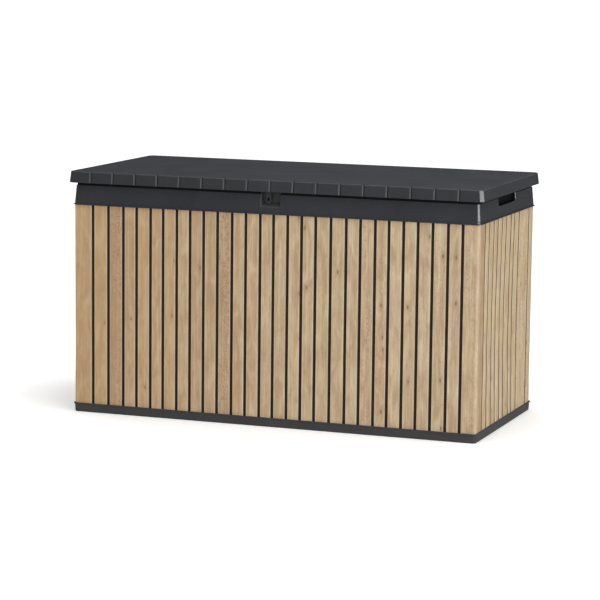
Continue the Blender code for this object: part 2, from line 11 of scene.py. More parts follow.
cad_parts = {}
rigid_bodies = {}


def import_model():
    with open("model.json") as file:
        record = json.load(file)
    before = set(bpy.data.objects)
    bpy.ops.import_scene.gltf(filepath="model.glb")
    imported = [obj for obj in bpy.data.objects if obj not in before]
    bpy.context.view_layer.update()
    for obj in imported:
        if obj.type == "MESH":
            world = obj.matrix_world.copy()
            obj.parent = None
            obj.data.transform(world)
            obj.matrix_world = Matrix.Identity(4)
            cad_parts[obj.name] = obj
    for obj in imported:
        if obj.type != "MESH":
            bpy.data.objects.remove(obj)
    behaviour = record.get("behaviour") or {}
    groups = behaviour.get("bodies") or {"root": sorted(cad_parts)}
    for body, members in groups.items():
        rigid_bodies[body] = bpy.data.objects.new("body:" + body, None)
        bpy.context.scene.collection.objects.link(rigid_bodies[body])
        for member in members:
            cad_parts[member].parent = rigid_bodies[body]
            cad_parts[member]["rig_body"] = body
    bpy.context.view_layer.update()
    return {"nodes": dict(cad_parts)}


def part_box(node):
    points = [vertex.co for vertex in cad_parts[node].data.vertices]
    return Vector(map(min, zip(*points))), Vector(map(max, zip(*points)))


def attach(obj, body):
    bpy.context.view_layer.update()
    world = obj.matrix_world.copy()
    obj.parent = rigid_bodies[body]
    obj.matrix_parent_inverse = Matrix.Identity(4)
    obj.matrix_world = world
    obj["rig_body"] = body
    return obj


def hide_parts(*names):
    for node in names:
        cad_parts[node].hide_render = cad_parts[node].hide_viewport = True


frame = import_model()

# ---------------- places from the frame
MM = 0.001
QUARTER = math.pi / 2  # a quarter turn
WALL_LOW, WALL_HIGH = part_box("front_panel")
LINER_LOW, LINER_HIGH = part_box("lid_liner")
COLLAR_BOTTOM, COLLAR_TOP = (corner.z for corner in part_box("top_frame"))
LID_BOTTOM, LID_TOP = (corner.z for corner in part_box("lid_shell"))
TRAY_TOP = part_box("base_tray")[1].z

HALF_X = WALL_HIGH.x  # outer faces of the slats
HALF_Y = -WALL_LOW.y
WALL_THICK = WALL_HIGH.y - WALL_LOW.y
END_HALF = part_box("right_panel")[1].y
GAP = 0.0003
WELD = 0.00001  # vertices closer than this are one

FRONT_SLATS_MM = (67, 56, 54, 48, 50, 45, 49, 47, 48, 49, 51, 48, 50, 46,
                  49, 48, 48, 52, 52, 48, 50, 46, 49, 48, 49, 51, 48, 54)
END_SLATS_MM = (51, 48, 53, 47, 50, 48, 57, 40, 56, 118, 35)
GROOVE_HALF = 0.005  # of the long walls
END_GROOVE_HALF = 0.0065
GROOVE_DEEP = 0.005
SLAT_ROUND = 0.0013
GROOVE_LEAN = 0.0005  # how far a groove's flank leans
CORNER_CUT = 0.005
CORNER_EASE = 0.001
SEAM_CUT = 0.0015
END_BOW = 0.0046  # how far the end walls draw in at their middle
# How strongly the end walls' groove flanks take the painted shade, beside the long walls' 1.0.
END_SHADE = 0.85  # of their grooves' flanks, beside the long walls' 1.0
WALL_ROWS = 20  # rows of faces up a wall that draws in


# ---------------- shader helpers
def new_material(name):
    made = bpy.data.materials.new(name)
    made.use_nodes = True
    tree = made.node_tree
    return made, tree, tree.nodes["Principled BSDF"]


def new_node(tree, kind):
    return tree.nodes.new("ShaderNode" + kind)


def tree_of(*values):
    """The node tree that the first socket among some values belongs to."""
    return next(value.id_data for value in values if isinstance(value, bpy.types.NodeSocket))


def join(source, target):
    target.id_data.links.new(source, target)


def fill(made, **values):
    """Sets sockets by name; an underscore stands for a space."""
    for key, value in values.items():
        made.inputs[key.replace("_", " ")].default_value = value


def maths(operation, *values):
    made = new_node(tree_of(*values), "Math")
    made.operation = operation
    for socket, value in zip(made.inputs, values):
        if isinstance(value, (int, float)):
            socket.default_value = value
        else:
            join(value, socket)
    return made.outputs[0]


def stretch(source, scale, shift=(0, 0, 0)):
    made = new_node(source.id_data, "Mapping")
    fill(made, Scale=scale, Location=shift)
    join(source, made.inputs["Vector"])
    return made.outputs["Vector"]


def noise(source, scale, detail=3.0, rough=0.5, distort=0.0):
    made = new_node(source.id_data, "TexNoise")
    fill(made, Scale=scale, Detail=detail, Roughness=rough, Distortion=distort)
    join(source, made.inputs["Vector"])
    return made.outputs["Fac"]


def ramp(source, *stops):
    """A colour ramp; a stop is (place, grey value or colour)."""
    made = new_node(source.id_data, "ValToRGB")
    elements = made.color_ramp.elements
    while len(elements) < len(stops):
        elements.new(0.5)
    for element, (place, colour) in zip(elements, stops):
        shade = colour if isinstance(colour, tuple) else (colour,) * 3
        element.position = place
        element.color = (*shade, 1.0)
    join(source, made.inputs["Fac"])
    return made.outputs["Color"]


def mix(amount, first, second, blend="MIX"):
    made = new_node(tree_of(amount, first, second), "Mix")
    made.data_type = "RGBA"
    made.blend_type = blend
    for i, value in ((0, amount), (6, first), (7, second)):
        socket = made.inputs[i]
        if isinstance(value, (int, float)):
            socket.default_value = value if i == 0 else (value, value, value, 1.0)
        elif isinstance(value, tuple):
            socket.default_value = (*value, 1.0)
        else:
            join(value, socket)
    return made.outputs[2]


def bump(height, distance, strength, shader):
    made = new_node(height.id_data, "Bump")
    fill(made, Distance=distance, Strength=strength)
    join(height, made.inputs["Height"])
    join(made.outputs["Normal"], shader.inputs["Normal"])


def attribute(tree, name):
    """The three parts of a colour attribute."""
    found = new_node(tree, "Attribute")
    found.attribute_name = name
    parts = new_node(tree, "SeparateColor")
    join(found.outputs["Color"], parts.inputs[0])
    return parts.outputs


def object_place(tree):
    return new_node(tree, "TexCoord").outputs["Object"]


def scaled(colour, by):
    return tuple(part * by for part in colour)


# ---------------- materials
def resin(name, colour, roughness, specular, grain=0.00005, mottled=1.0):
    """Moulded resin: a fine eroded grain with faint flow mottling."""
    made, tree, shader = new_material(name)
    place = object_place(tree)
    mottle = noise(place, 6.0, 5.0, 0.6, 0.3)
    speck = noise(place, 520.0, 2.0, 0.6)
    fine = noise(place, 1400.0, 2.0, 0.5)
    base = ramp(mottle, (0.3, scaled(colour, 1 - 0.14 * mottled)),
                (0.72, scaled(colour, 1 + 0.16 * mottled)))
    base = mix(ramp(speck, (0.52, 0.0), (0.8, 0.5)), base, scaled(colour, 1.5))
    join(base, shader.inputs["Base Color"])
    gloss = ramp(mottle, (0.25, roughness - 0.04 * mottled), (0.75, roughness + 0.05 * mottled))
    join(gloss, shader.inputs["Roughness"])
    fill(shader, Specular_IOR_Level=specular)
    bump(maths("ADD", speck, maths("MULTIPLY", fine, 0.6)), grain, 0.7, shader)
    return made


YELLOW_OAK = ((0.3, (0.51, 0.378, 0.215)), (0.52, (0.56, 0.44, 0.272)),
              (0.72, (0.62, 0.515, 0.345)))
PINK_OAK = ((0.3, (0.455, 0.31, 0.2)), (0.52, (0.52, 0.378, 0.252)),
            (0.72, (0.59, 0.46, 0.325)))
DARK_STREAK, PALE_STREAK = (0.41, 0.285, 0.155), (0.74, 0.62, 0.42)
DARK_BLOTCH, PALE_BLOTCH = (0.4, 0.262, 0.16), (0.7, 0.59, 0.4)
DARK_FLECK, PALE_FLECK = (0.33, 0.205, 0.13), (0.73, 0.57, 0.41)
OPEN_PORE = (0.27, 0.17, 0.095)
KNOT_HALO, KNOT_HEART = (0.33, 0.2, 0.105), (0.17, 0.085, 0.04)
KNOTLESS = 0.78  # share of the knots' cells that hold none
HONEY, UMBER = (0.5, 0.28, 0.11), (0.18, 0.105, 0.062)
# Colours of the arrises' painted highlight and of the groove flanks' painted shade.
ARRIS_HIGHLIGHT, SLAT_SIDE_SHADE = (0.78, 0.69, 0.51), (0.06, 0.04, 0.024)


def slat_wood(name):
    """Oak-look slats.

    The "grain" UV holds metres across and along a slat; "tone" holds each slat's own
    warmth, depth and figure, and "edge" its rounded arrises, which take a painted highlight,
    its groove's flanks, which take painted shade, and how brown it is.
    """
    made, tree, shader = new_material(name)
    held = new_node(tree, "UVMap")
    held.uv_map = "grain"
    uv = held.outputs["UV"]
    warmth, depth, figure = attribute(tree, "tone")[:3]
    # edge masks the arrises' painted highlight, and flank masks the grooves' painted shade.
    edge, flank, brown = attribute(tree, "edge")[:3]

    wander = noise(stretch(uv, (12, 1.5, 1)), 1.0, 2.0, 0.5)
    sideways = new_node(tree, "CombineXYZ")
    join(maths("MULTIPLY", maths("SUBTRACT", wander, 0.5), 0.03), sideways.inputs[0])
    bent = new_node(tree, "VectorMath")
    join(uv, bent.inputs[0])
    join(sideways.outputs[0], bent.inputs[1])
    grain = bent.outputs[0]

    broad = noise(stretch(grain, (55, 0.8, 1)), 1.0, 3.0, 0.55)
    streak = noise(stretch(grain, (210, 2.0, 1)), 1.0, 4.0, 0.62)
    pore = noise(stretch(grain, (850, 20, 1)), 1.0, 2.0, 0.55)
    patch = noise(stretch(uv, (9, 3.0, 1)), 1.0, 3.0, 0.55)

    cast = maths("ADD", warmth, maths("MULTIPLY_ADD", patch, 2.4, -1.2))
    base = mix(cast, ramp(broad, *YELLOW_OAK), ramp(broad, *PINK_OAK))
    blotch = noise(stretch(uv, (46, 11, 1), (7, 2, 0)), 1.0, 3.0, 0.6, 0.6)
    for layer, colour, *stops in ((streak, DARK_STREAK, (0.38, 0.5), (0.52, 0.0)),
                                  (streak, PALE_STREAK, (0.52, 0.0), (0.68, 0.44)),
                                  (blotch, DARK_BLOTCH, (0.34, 0.62), (0.5, 0.0)),
                                  (blotch, PALE_BLOTCH, (0.52, 0.0), (0.68, 0.54)),
                                  (pore, OPEN_PORE, (0.3, 0.3), (0.46, 0.0))):
        base = mix(ramp(layer, *stops), base, colour)

    # Ray figure: pale worm-like flecks, edged with brown, that climb some slats.
    flame = noise(stretch(uv, (64, 44, 1)), 1.0, 2.0, 0.5, 2.6)
    where = noise(stretch(uv, (30, 2.6, 1), (3, 5, 0)), 1.0, 1.0, 0.5)
    shown = maths("MULTIPLY", ramp(where, (0.44, 0.0), (0.52, 1.0)), figure)
    pale = maths("MULTIPLY", ramp(flame, (0.47, 0.0), (0.51, 0.9), (0.56, 0.0)), shown)
    base = mix(pale, base, PALE_FLECK)
    base = mix(maths("MULTIPLY", ramp(flame, (0.4, 0.75), (0.46, 0.0)), shown), base, DARK_FLECK)

    # Knots: sparse dark ovals with a stained halo.
    cells = new_node(tree, "TexVoronoi")
    cells.voronoi_dimensions = "2D"
    fill(cells, Scale=1.0)
    join(stretch(grain, (19.0, 8.0, 1)), cells.inputs["Vector"])
    chance = new_node(tree, "SeparateColor")
    join(cells.outputs["Color"], chance.inputs[0])
    rare = maths("GREATER_THAN", chance.outputs[0], KNOTLESS)
    near = cells.outputs["Distance"]
    base = mix(maths("MULTIPLY", ramp(near, (0.04, 0.4), (0.24, 0.0)), rare), base, KNOT_HALO)
    base = mix(maths("MULTIPLY", ramp(near, (0.03, 0.75), (0.075, 0.0)), rare), base, KNOT_HEART)

    base = mix(depth, base, HONEY)
    base = mix(brown, base, UMBER)
    # Painted highlight: the rounded arrises are lightened.
    base = mix(maths("MULTIPLY", edge, 0.22), base, ARRIS_HIGHLIGHT)
    # Painted shade: the slats' sides in the grooves are darkened.
    base = mix(maths("MULTIPLY", flank, 0.9), base, SLAT_SIDE_SHADE)
    join(base, shader.inputs["Base Color"])
    join(ramp(streak, (0.3, 0.64), (0.7, 0.5)), shader.inputs["Roughness"])
    fill(shader, Specular_IOR_Level=0.35)
    bump(maths("ADD", maths("MULTIPLY", streak, 0.9), maths("MULTIPLY", pore, 0.5)),
         0.0003, 0.5, shader)
    return made


def cloud_over(shader, cloud, dark, light, roughness, dulled):
    """Colour and gloss that follow a cloud: dark parts are duller."""
    join(ramp(cloud, (0.3, dark), (0.7, light)), shader.inputs["Base Color"])
    join(ramp(cloud, (0.3, roughness + dulled), (0.7, roughness)), shader.inputs["Roughness"])


def steel(name, colour, roughness, drawn):
    """Plated steel: faint drawn lines, with clouded plating."""
    made, tree, shader = new_material(name)
    place = object_place(tree)
    cloud = noise(place, 60.0, 3.0, 0.6)
    cloud_over(shader, cloud, scaled(colour, 0.8), colour, roughness, 0.1)
    fill(shader, Metallic=1.0)
    bump(noise(stretch(place, drawn), 900.0, 3.0, 0.6), 0.00003, 0.6, shader)
    return made


def paint(name, colour, roughness):
    """Baked black paint over steel, with orange peel."""
    made, tree, shader = new_material(name)
    place = object_place(tree)
    cloud = noise(place, 18.0, 3.0, 0.5)
    cloud_over(shader, cloud, scaled(colour, 0.8), scaled(colour, 1.25), roughness, 0.08)
    fill(shader, Coat_Weight=0.3, Coat_Roughness=0.25)
    bump(noise(place, 380.0, 2.0, 0.5), 0.00008, 0.5, shader)
    return made


RESIN = resin("anthracite_resin", (0.03, 0.0315, 0.0365), 0.6, 0.2)
LID_RESIN = resin("lid_resin", (0.03, 0.0315, 0.036), 0.6, 0.22)
CORNER_RESIN = resin("burnished_resin", (0.042, 0.0425, 0.045), 0.3, 0.66, 0.000001, 0.1)
# Lighter, glossier resin: a painted highlight on creases, right-facing groove flanks and rolled
# rims.
HIGHLIGHT_PAINT_RESIN = resin("highlight_paint_resin", (0.056, 0.057, 0.06), 0.45, 0.3, 0.00002)
LID_TOP_RESIN = resin("lid_top_resin", (0.0385, 0.04, 0.0465), 0.6, 0.24)
PLINTH_RESIN = resin("plinth_resin", (0.05, 0.049, 0.049), 0.6, 0.22)
GROOVE_RESIN = resin("groove_resin", (0.024, 0.0215, 0.02), 0.75, 0.15, 0.0001)
# Near-black resin: painted shade under the lid's overhang and inside the hand grips.
SHADOW_PAINT_RESIN = resin("shadow_paint_resin", (0.008, 0.008, 0.009), 0.8, 0.08, 0.0001)
END_GROOVE_RESIN = resin("end_groove_resin", (0.07, 0.047, 0.027), 0.75, 0.15, 0.0001)
WOOD = slat_wood("slat_wood")
ZINC = steel("zinc_steel", (0.62, 0.62, 0.6), 0.3, (1, 0.05, 0.05))
BRIGHT = steel("polished_rod", (0.72, 0.72, 0.73), 0.14, (1, 1, 0.03))
BLACK = paint("black_steel", (0.028, 0.028, 0.03), 0.34)


# ---------------- mesh helpers
def linked(name, data):
    """A new object in the scene."""
    made = bpy.data.objects.new(name, data)
    bpy.context.scene.collection.objects.link(made)
    return made


def smooth_piece(made, angle):
    """Smooth shading that keeps flat faces flat and hard edges hard."""
    made.data.shade_smooth()
    made.data.set_sharp_from_angle(angle=math.radians(angle))
    level = made.modifiers.new("even_normals", "WEIGHTED_NORMAL")
    level.keep_sharp = True


def add_piece(name, mesh, body, node, skins, cutters=(), operation="DIFFERENCE", angle=32):
    """A piece that stands for a CAD node, carved and then smoothed.

    Its faces pick their material among the skins by number.
    """
    made = linked(name, mesh)
    for skin in skins:
        mesh.materials.append(skin)
    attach(made, body)
    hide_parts(node)
    if cutters:
        carve(made, cutters, operation)
    smooth_piece(made, angle)
    return made


def mesh_from(name, work):
    """Closes a bmesh into a mesh whose faces look outward."""
    bmesh.ops.recalc_face_normals(work, faces=work.faces)
    if work.calc_volume(signed=True) < 0:
        bmesh.ops.reverse_faces(work, faces=work.faces)
    mesh = bpy.data.meshes.new(name)
    work.to_mesh(mesh)
    work.free()
    return mesh


def bands(work, *loops):
    """Quads between each loop and the next, of as many vertices."""
    for first, second in zip(loops, loops[1:]):
        for i in range(len(first)):
            j = (i + 1) % len(first)
            work.faces.new((first[i], first[j], second[j], second[i]))


def skin_loops(work, loops, ring=False):
    """Joins loops of vertices with quads; an open run is capped at both ends."""
    if not ring:
        work.faces.new(loops[0])
        work.faces.new(loops[-1])
    bands(work, *loops, *(loops[:1] if ring else ()))


def arc(centre, radius, start, end, count):
    angles = [math.radians(start + (end - start) * i / count) for i in range(count + 1)]
    return [(centre[0] + radius * math.cos(a), centre[1] + radius * math.sin(a)) for a in angles]


def rounded_rect(low, high, radius, count=5):
    """An anticlockwise rectangle with rounded corners."""
    x0, y0, x1, y1 = low[0] + radius, low[1] + radius, high[0] - radius, high[1] - radius
    centres = ((x1, y0), (x1, y1), (x0, y1), (x0, y0))
    return [point for centre, start in zip(centres, (-90, 0, 90, 180))
            for point in arc(centre, radius, start, start + 90, count)]


def eased_corner(cut, ease):
    """A chamfered corner whose two bends are rounded: distances in from each face."""
    bend = [(cut + ease * along, ease * inward)
            for along, inward in ((1.0, 0.0), (0.076, 0.184), (-0.707, 0.707))]
    return bend + [(b, a) for a, b in reversed(bend)]


def plan(offset, cut, ease, marks=()):
    """The box's plan grown by an offset; marks are (x, inset) points along the front."""
    x, y = HALF_X + offset, HALF_Y + offset
    corner = eased_corner(cut, ease)
    return ([(-x + a, -y + b) for a, b in reversed(corner)]
            + [(mark, -y + inset) for mark, inset in marks]
            + [(x - a, -y + b) for a, b in corner]
            + [(x - a, y - b) for a, b in reversed(corner)]
            + [(-x + a, y - b) for a, b in corner])


def rows_mm(base, *rows):
    """Stations from rows of (offset, rise over a base, cut, ease) in millimetres."""
    return [(offset * MM, base + rise * MM, cut * MM, ease * MM)
            for offset, rise, cut, ease in rows]


def station_loops(work, stations, marks_at=lambda offset, height: ()):
    """Loops of vertices round the plans at stations, each (offset, height, cut, ease)."""
    return [[work.verts.new((x, y, height))
             for x, y in plan(offset, cut, ease, marks_at(offset, height))]
            for offset, height, cut, ease in stations]


# Which of its piece's materials a face takes.
# The second number gives a lighter resin as a painted highlight.
SMOOTH, PAINTED_HIGHLIGHT = 1, 2  # on the collar and the lid
# On the collar, the third number gives near-black resin as painted shade.
PAINTED_SHADE, RECESS = 3, 4  # on the collar
# On the lid, the flank number gives dark resin as painted shade on groove flanks that face left.
TOP, LID_FLANK_SHADE = 3, 4  # on the lid
FLOOR, BOARD = 1, 2  # between and behind the slats


def is_chamfer(normal):
    return abs(normal.z) < 0.2 and abs(abs(normal.x) - abs(normal.y)) < 0.1


def finish_collar(mesh):
    """The corner chamfers are moulded smooth, and the faces of the shadow gap under the lid take
    near-black resin as painted shade.
    """
    mesh.update()
    for face in mesh.polygons:
        # Faces above the shadow gap take near-black resin as painted shade.
        if face.center.z > SHADOW_GAP:
            face.material_index = PAINTED_SHADE
        elif is_chamfer(face.normal):
            face.material_index = SMOOTH


def finish_lid(mesh):
    """Smooth chamfers; creases and groove flanks that face right take a lighter resin as a painted
    highlight, and flanks that face left a dark resin as painted shade; the top face takes a
    lighter, bluer resin.
    """
    mesh.update()
    for face in mesh.polygons:
        across, back, rise = face.normal
        if is_chamfer(face.normal):
            face.material_index = SMOOTH
        # Groove flanks: a painted highlight on those that face right, painted shade on those that
        # face left.
        elif abs(rise) < 0.2 and back < 0 and 0.4 < abs(across) < 0.7:
            face.material_index = PAINTED_HIGHLIGHT if across > 0 else LID_FLANK_SHADE
        elif rise > 0.94:
            face.material_index = TOP
        # Creases take the lighter resin as a painted highlight.
        elif rise > 0.3:
            face.material_index = PAINTED_HIGHLIGHT


def applied(made):
    """The mesh that an object shows."""
    ready = made.evaluated_get(bpy.context.evaluated_depsgraph_get())
    return bpy.data.meshes.new_from_object(ready)


def carve(made, cutters, operation="DIFFERENCE"):
    """Cuts (or joins) helper meshes and keeps only the result."""
    tools = [linked("cutter", mesh) for mesh in cutters]
    for tool in tools:
        cut = made.modifiers.new("carve", "BOOLEAN")
        cut.operation = operation
        cut.solver = "EXACT"
        cut.object = tool
    result = applied(made)
    made.modifiers.clear()
    made.data = result
    for tool in tools:
        bpy.data.objects.remove(tool, do_unlink=True)


def bay_cutter(shape, span, out, radii, rims, falls, inside):
    """A cutter for a bay with a rolled mouth and a filleted floor.

    shape(growth, distance) gives its outline at a distance; span holds the distances of its
    mouth and floor, radii their roundings, and rims and falls the angles of their bands. The
    mouth's bands take the lighter resin as a painted rim highlight, and the others take the
    material numbered inside.
    """
    (face, floor), (roll, fillet) = span, radii
    lead = 0.004 if out > 0 else 0.003
    depths = [(face + out * 0.004, roll + lead), (face + out * 0.0001, roll + lead / 10)]
    depths += [(face - out * roll * math.sin(a), roll * (1 - math.sin(a))) for a in rims]
    depths += [(floor + out * fillet * (1 - math.sin(a)), -fillet * (1 - math.cos(a)))
               for a in falls]
    work = bmesh.new()
    loops = [[work.verts.new(point) for point in shape(growth, distance)]
             for distance, growth in depths]
    skin_loops(work, loops)
    caps = 2
    # The mouth's bands take the lighter resin as a painted highlight.
    for i, face in enumerate(work.faces):
        highlighted = 0 <= (i - caps) // len(loops[0]) <= len(rims)
        face.material_index = PAINTED_HIGHLIGHT if highlighted else inside
    return mesh_from("cutter", work)


def outline_mesh(name, outlines, near, far, basis, ease, steps=3):
    """A plate from a closed outline and its holes, with rounded edges."""
    curve = bpy.data.curves.new(name, "CURVE")
    curve.dimensions = "2D"
    curve.fill_mode = "BOTH"
    curve.extrude = (far - near) / 2 - ease
    curve.bevel_depth = ease
    curve.bevel_resolution = steps
    curve.offset = -ease
    for outline in outlines:
        spline = curve.splines.new("POLY")
        spline.points.add(len(outline) - 1)
        for point, (u, v) in zip(spline.points, outline):
            point.co = (u, v, 0.0, 1.0)
        spline.use_cyclic_u = True
    drawn = linked(name + "_outline", curve)
    mesh = applied(drawn)
    bpy.data.objects.remove(drawn, do_unlink=True)
    bpy.data.curves.remove(curve)
    work = bmesh.new()
    work.from_mesh(mesh)
    bpy.data.meshes.remove(mesh)
    bmesh.ops.remove_doubles(work, verts=work.verts, dist=WELD)
    work.transform(basis @ Matrix.Translation((0, 0, (near + far) / 2)))
    return mesh_from(name, work)


SIDE_VIEW = Matrix(((0, 0, 1, 0), (1, 0, 0, 0), (0, 1, 0, 0), (0, 0, 0, 1)))
FRONT_VIEW = Matrix(((1, 0, 0, 0), (0, 0, -1, 0), (0, 1, 0, 0), (0, 0, 0, 1)))


def turned_mesh(name, profile, sides):
    """A closed profile of (radius, height) turned round Z."""
    work = bmesh.new()
    turns = [2 * math.pi * i / sides for i in range(sides)]
    loops = [[work.verts.new((radius * math.cos(a), radius * math.sin(a), height)) for a in turns]
             for radius, height in profile[1:-1]]
    skin_loops(work, loops)
    for cap in [face for face in work.faces if len(face.verts) > 4]:
        height = profile[0][1] if cap.verts[0] in loops[0] else profile[-1][1]
        middle = work.verts.new((0, 0, height))
        edges = list(cap.edges)
        work.faces.remove(cap)
        for edge in edges:
            work.faces.new((*edge.verts, middle))
    return mesh_from(name, work)


# ---------------- slatted walls
FACE_INSET = 0.005  # from a slat's side to the flat of its face


def arris(side, away, k):
    """From a groove's floor up a slat's side and round onto its face."""
    return ([(side - away * GROOVE_LEAN, GROOVE_DEEP, k, 0.0, 1.0),
             (side, SLAT_ROUND * 1.6, k, 0.0, 1.0)]
            + [(side + away * SLAT_ROUND * (1 - math.cos(a)), SLAT_ROUND * (1 - math.sin(a)),
                k, 1.0, 0.0) for a in (0.0, 0.6, 1.1, QUARTER)])


def wall_profile(widths_mm, half, chamfered, groove):
    """The wall's plan as points (across, in, slat, edge, flank); slat is None off the wood."""
    scale = 2 * half / (sum(widths_mm) * MM)
    points = []
    left = -half
    last = len(widths_mm) - 1
    for k, width in enumerate(widths_mm):
        right = left + width * MM * scale
        if k == 0:
            points += end_points(half, chamfered, k)
            start = points[-1][0]
        else:
            start = left + groove
            points += arris(start, 1, k)
        finish = right - groove
        if k == last:
            tail = [(-u, v, k, e, f) for u, v, _, e, f in reversed(end_points(half, chamfered, k))]
            finish = tail[0][0]
        near, far = start + FACE_INSET, finish - FACE_INSET
        points += [(near + (far - near) * i / 4, 0.0, k, 0.0, 0.0) for i in range(5)]
        if k == last:
            points += tail
        else:
            points += reversed(arris(finish, -1, k))
        left = right
    return points


def end_points(half, chamfered, k):
    """The wall's left end, from its back edge round to its face."""
    if not chamfered:
        return [(-half, WALL_THICK, k, 0.0, 1.0), (-half, SEAM_CUT, k, 0.3, 0.6),
                (-half + 0.0005, 0.0006, k, 0.8, 0.0), (-half + SEAM_CUT, 0.0, k, 0.6, 0.0)]
    return ([(-half + SEAM_CUT, WALL_THICK, k, 0.0, 0.9),
             (-half + 0.0004, WALL_THICK - SEAM_CUT, k, 0.3, 0.2),
             (-half, WALL_THICK - SEAM_CUT - 0.0015, k, 0.3, 0.0),
             (-half, WALL_THICK * 0.55, k, 0.0, 0.0)]
            + [(-half + a, b, k, 0.45, 0.0)
               for a, b in reversed(eased_corner(CORNER_CUT, CORNER_EASE))])


CHANNEL_PITCH = 0.05


def inner_ribs(half):
    """The wall's back, right to left: flat resin with shallow channels."""
    count = int((2 * half - 2 * CHANNEL_PITCH) / CHANNEL_PITCH)
    channel = ((0.005, 0.0), (0.0038, 0.0012), (-0.0038, 0.0012), (-0.005, 0.0))
    return [((count / 2 - i) * CHANNEL_PITCH + shift, WALL_THICK - depth, None, 0.0, 0.0)
            for i in range(count + 1) for shift, depth in channel]


STRAIGHT_END = 0.03  # a wall that draws in stays straight this near its ends


def bow(u, height, half):
    """How far an end wall's face draws in at a place."""
    rise = min(max((height - TRAY_TOP) / (COLLAR_BOTTOM - TRAY_TOP), 0.0), 1.0)
    along = max(0.0, 1 - (u / (half - STRAIGHT_END)) ** 2)
    return END_BOW * math.sin(math.pi * rise) * along


def slatted_wall(side, widths_mm, half, basis, slats, is_end):
    """A wall of rounded slats over a dark board, one closed skin."""
    work = bmesh.new()
    tone_layer = work.loops.layers.float_color.new("tone")
    edge_layer = work.loops.layers.float_color.new("edge")
    grain_layer = work.loops.layers.uv.new("grain")
    groove, shade, floor, steps = (
        (END_GROOVE_HALF, END_SHADE, END_GROOVE_RESIN, WALL_ROWS) if is_end
        else (GROOVE_HALF, 1.0, GROOVE_RESIN, 1))
    profile = wall_profile(widths_mm, half, not is_end, groove) + inner_ribs(half)
    heights = [WALL_LOW.z + (WALL_HIGH.z - WALL_LOW.z) * i / steps for i in range(steps + 1)]
    travel, run = [0.0], 0.0
    for first, second in zip(profile, profile[1:]):
        run += math.dist(first[:2], second[:2])
        travel.append(run)
    rows = []
    for height in heights:
        row = []
        for u, v, *_ in profile:
            inset = bow(u, height, half) if is_end and v < WALL_THICK * 0.5 else 0.0
            row.append(work.verts.new(basis @ Vector((u, v + inset, height))))
        rows.append(row)
    count = len(profile)
    for lower, upper, low, high in zip(rows, rows[1:], heights, heights[1:]):
        for i in range(count):
            j = (i + 1) % count
            face = work.faces.new((lower[i], lower[j], upper[j], upper[i]))
            slat, after = profile[i][2], profile[j][2]
            if slat is None or slat != after:
                outside = i < count - 1 and slat is not None and after is not None
                face.material_index = FLOOR if outside else BOARD
                continue
            tone, brown, (across, along) = slats[slat]
            for loop, k, z in zip(face.loops, (i, j, j, i), (low, low, high, high)):
                loop[tone_layer] = tone
                # The arrises' painted highlight, the flanks' painted shade and the slat's brown.
                loop[edge_layer] = (profile[k][3], profile[k][4] * shade, brown, 1.0)
                loop[grain_layer].uv = (travel[k] + across, z + along)
    for row in (rows[0], rows[-1]):
        work.faces.new(row).material_index = BOARD
    name = f"{side}_slatted_wall"
    add_piece(name, mesh_from(name, work), "box", f"{side}_panel",
              (WOOD, floor, RESIN), angle=50)


# ---------------- collar
GRIP_Z = (0.736, 0.778)
GRIP_HALF_Y = 0.1
GRIP_FLOOR = HALF_X - 0.0205
GRIP_ROUND = 0.01
LOCK_X = (-0.036, 0.03)
LOCK_Z = 0.723
LOCK_DEPTH = 0.019
LOCK_SILL = 0.012  # how far the recess's floor rises towards its back
LOCK_WALL = -HALF_Y + LOCK_DEPTH
DRAFT = 0.0851
SHADOW_GAP = 0.7628  # the collar steps in above this, under the lid's skirt
SHADOW_STEP = 0.002
SHADOW_CUT = 0.006  # its corners there
FACE_FOOT = (0.002, 0.7015)  # where the drafted face starts: offset and height


def collar_offset(height):
    return FACE_FOOT[0] - DRAFT * (height - FACE_FOOT[1])


def grip_cutter(side):
    """The hand grip's pocket: its rim rolls over and its floor is filleted; its inside takes
    near-black resin as painted shade.
    """
    middle = (GRIP_Z[0] + GRIP_Z[1]) / 2

    def shape(growth, reach):
        outline = rounded_rect((-GRIP_HALF_Y - growth, GRIP_Z[0] - growth),
                               (GRIP_HALF_Y + growth, GRIP_Z[1] + growth),
                               GRIP_ROUND + growth, 6)
        lean = max(0.0, min(1.0, (reach - GRIP_FLOOR) / 0.01))
        return [(side * (reach - lean * DRAFT * (z - middle)), y, z) for y, z in outline]

    return bay_cutter(shape, (HALF_X + collar_offset(middle), GRIP_FLOOR), 1, (0.0024, 0.0035),
                      (0.25, 0.6, 1.0, QUARTER), (0.0, 0.4, 0.8, 1.2, QUARTER), PAINTED_SHADE)


def lock_cutter():
    """The lock recess: a shallow bay open to the top, with a sloping sill."""
    low, high = LOCK_X

    def shape(growth, reach):
        depth = (reach + HALF_Y) / LOCK_DEPTH
        bottom = LOCK_Z + max(0.0, min(1.0, depth)) * LOCK_SILL - growth
        radius = max(0.0015, 0.003 + growth)
        outline = (arc((high + growth - radius, bottom + radius), radius, -90, 0, 4)
                   + [(high + growth, COLLAR_TOP + 0.01), (low - growth, COLLAR_TOP + 0.01)]
                   + arc((low - growth + radius, bottom + radius), radius, 180, 270, 4))
        lean = max(0.0, min(1.0, 1 - depth))
        return [(x, reach + lean * DRAFT * (z - LOCK_Z), z) for x, z in outline]

    return bay_cutter(shape, (-HALF_Y - collar_offset(LOCK_Z), LOCK_WALL), -1, (0.0012, 0.0025),
                      (0.3, 0.8, QUARTER), (0.0, 0.5, 1.0, QUARTER), RECESS)


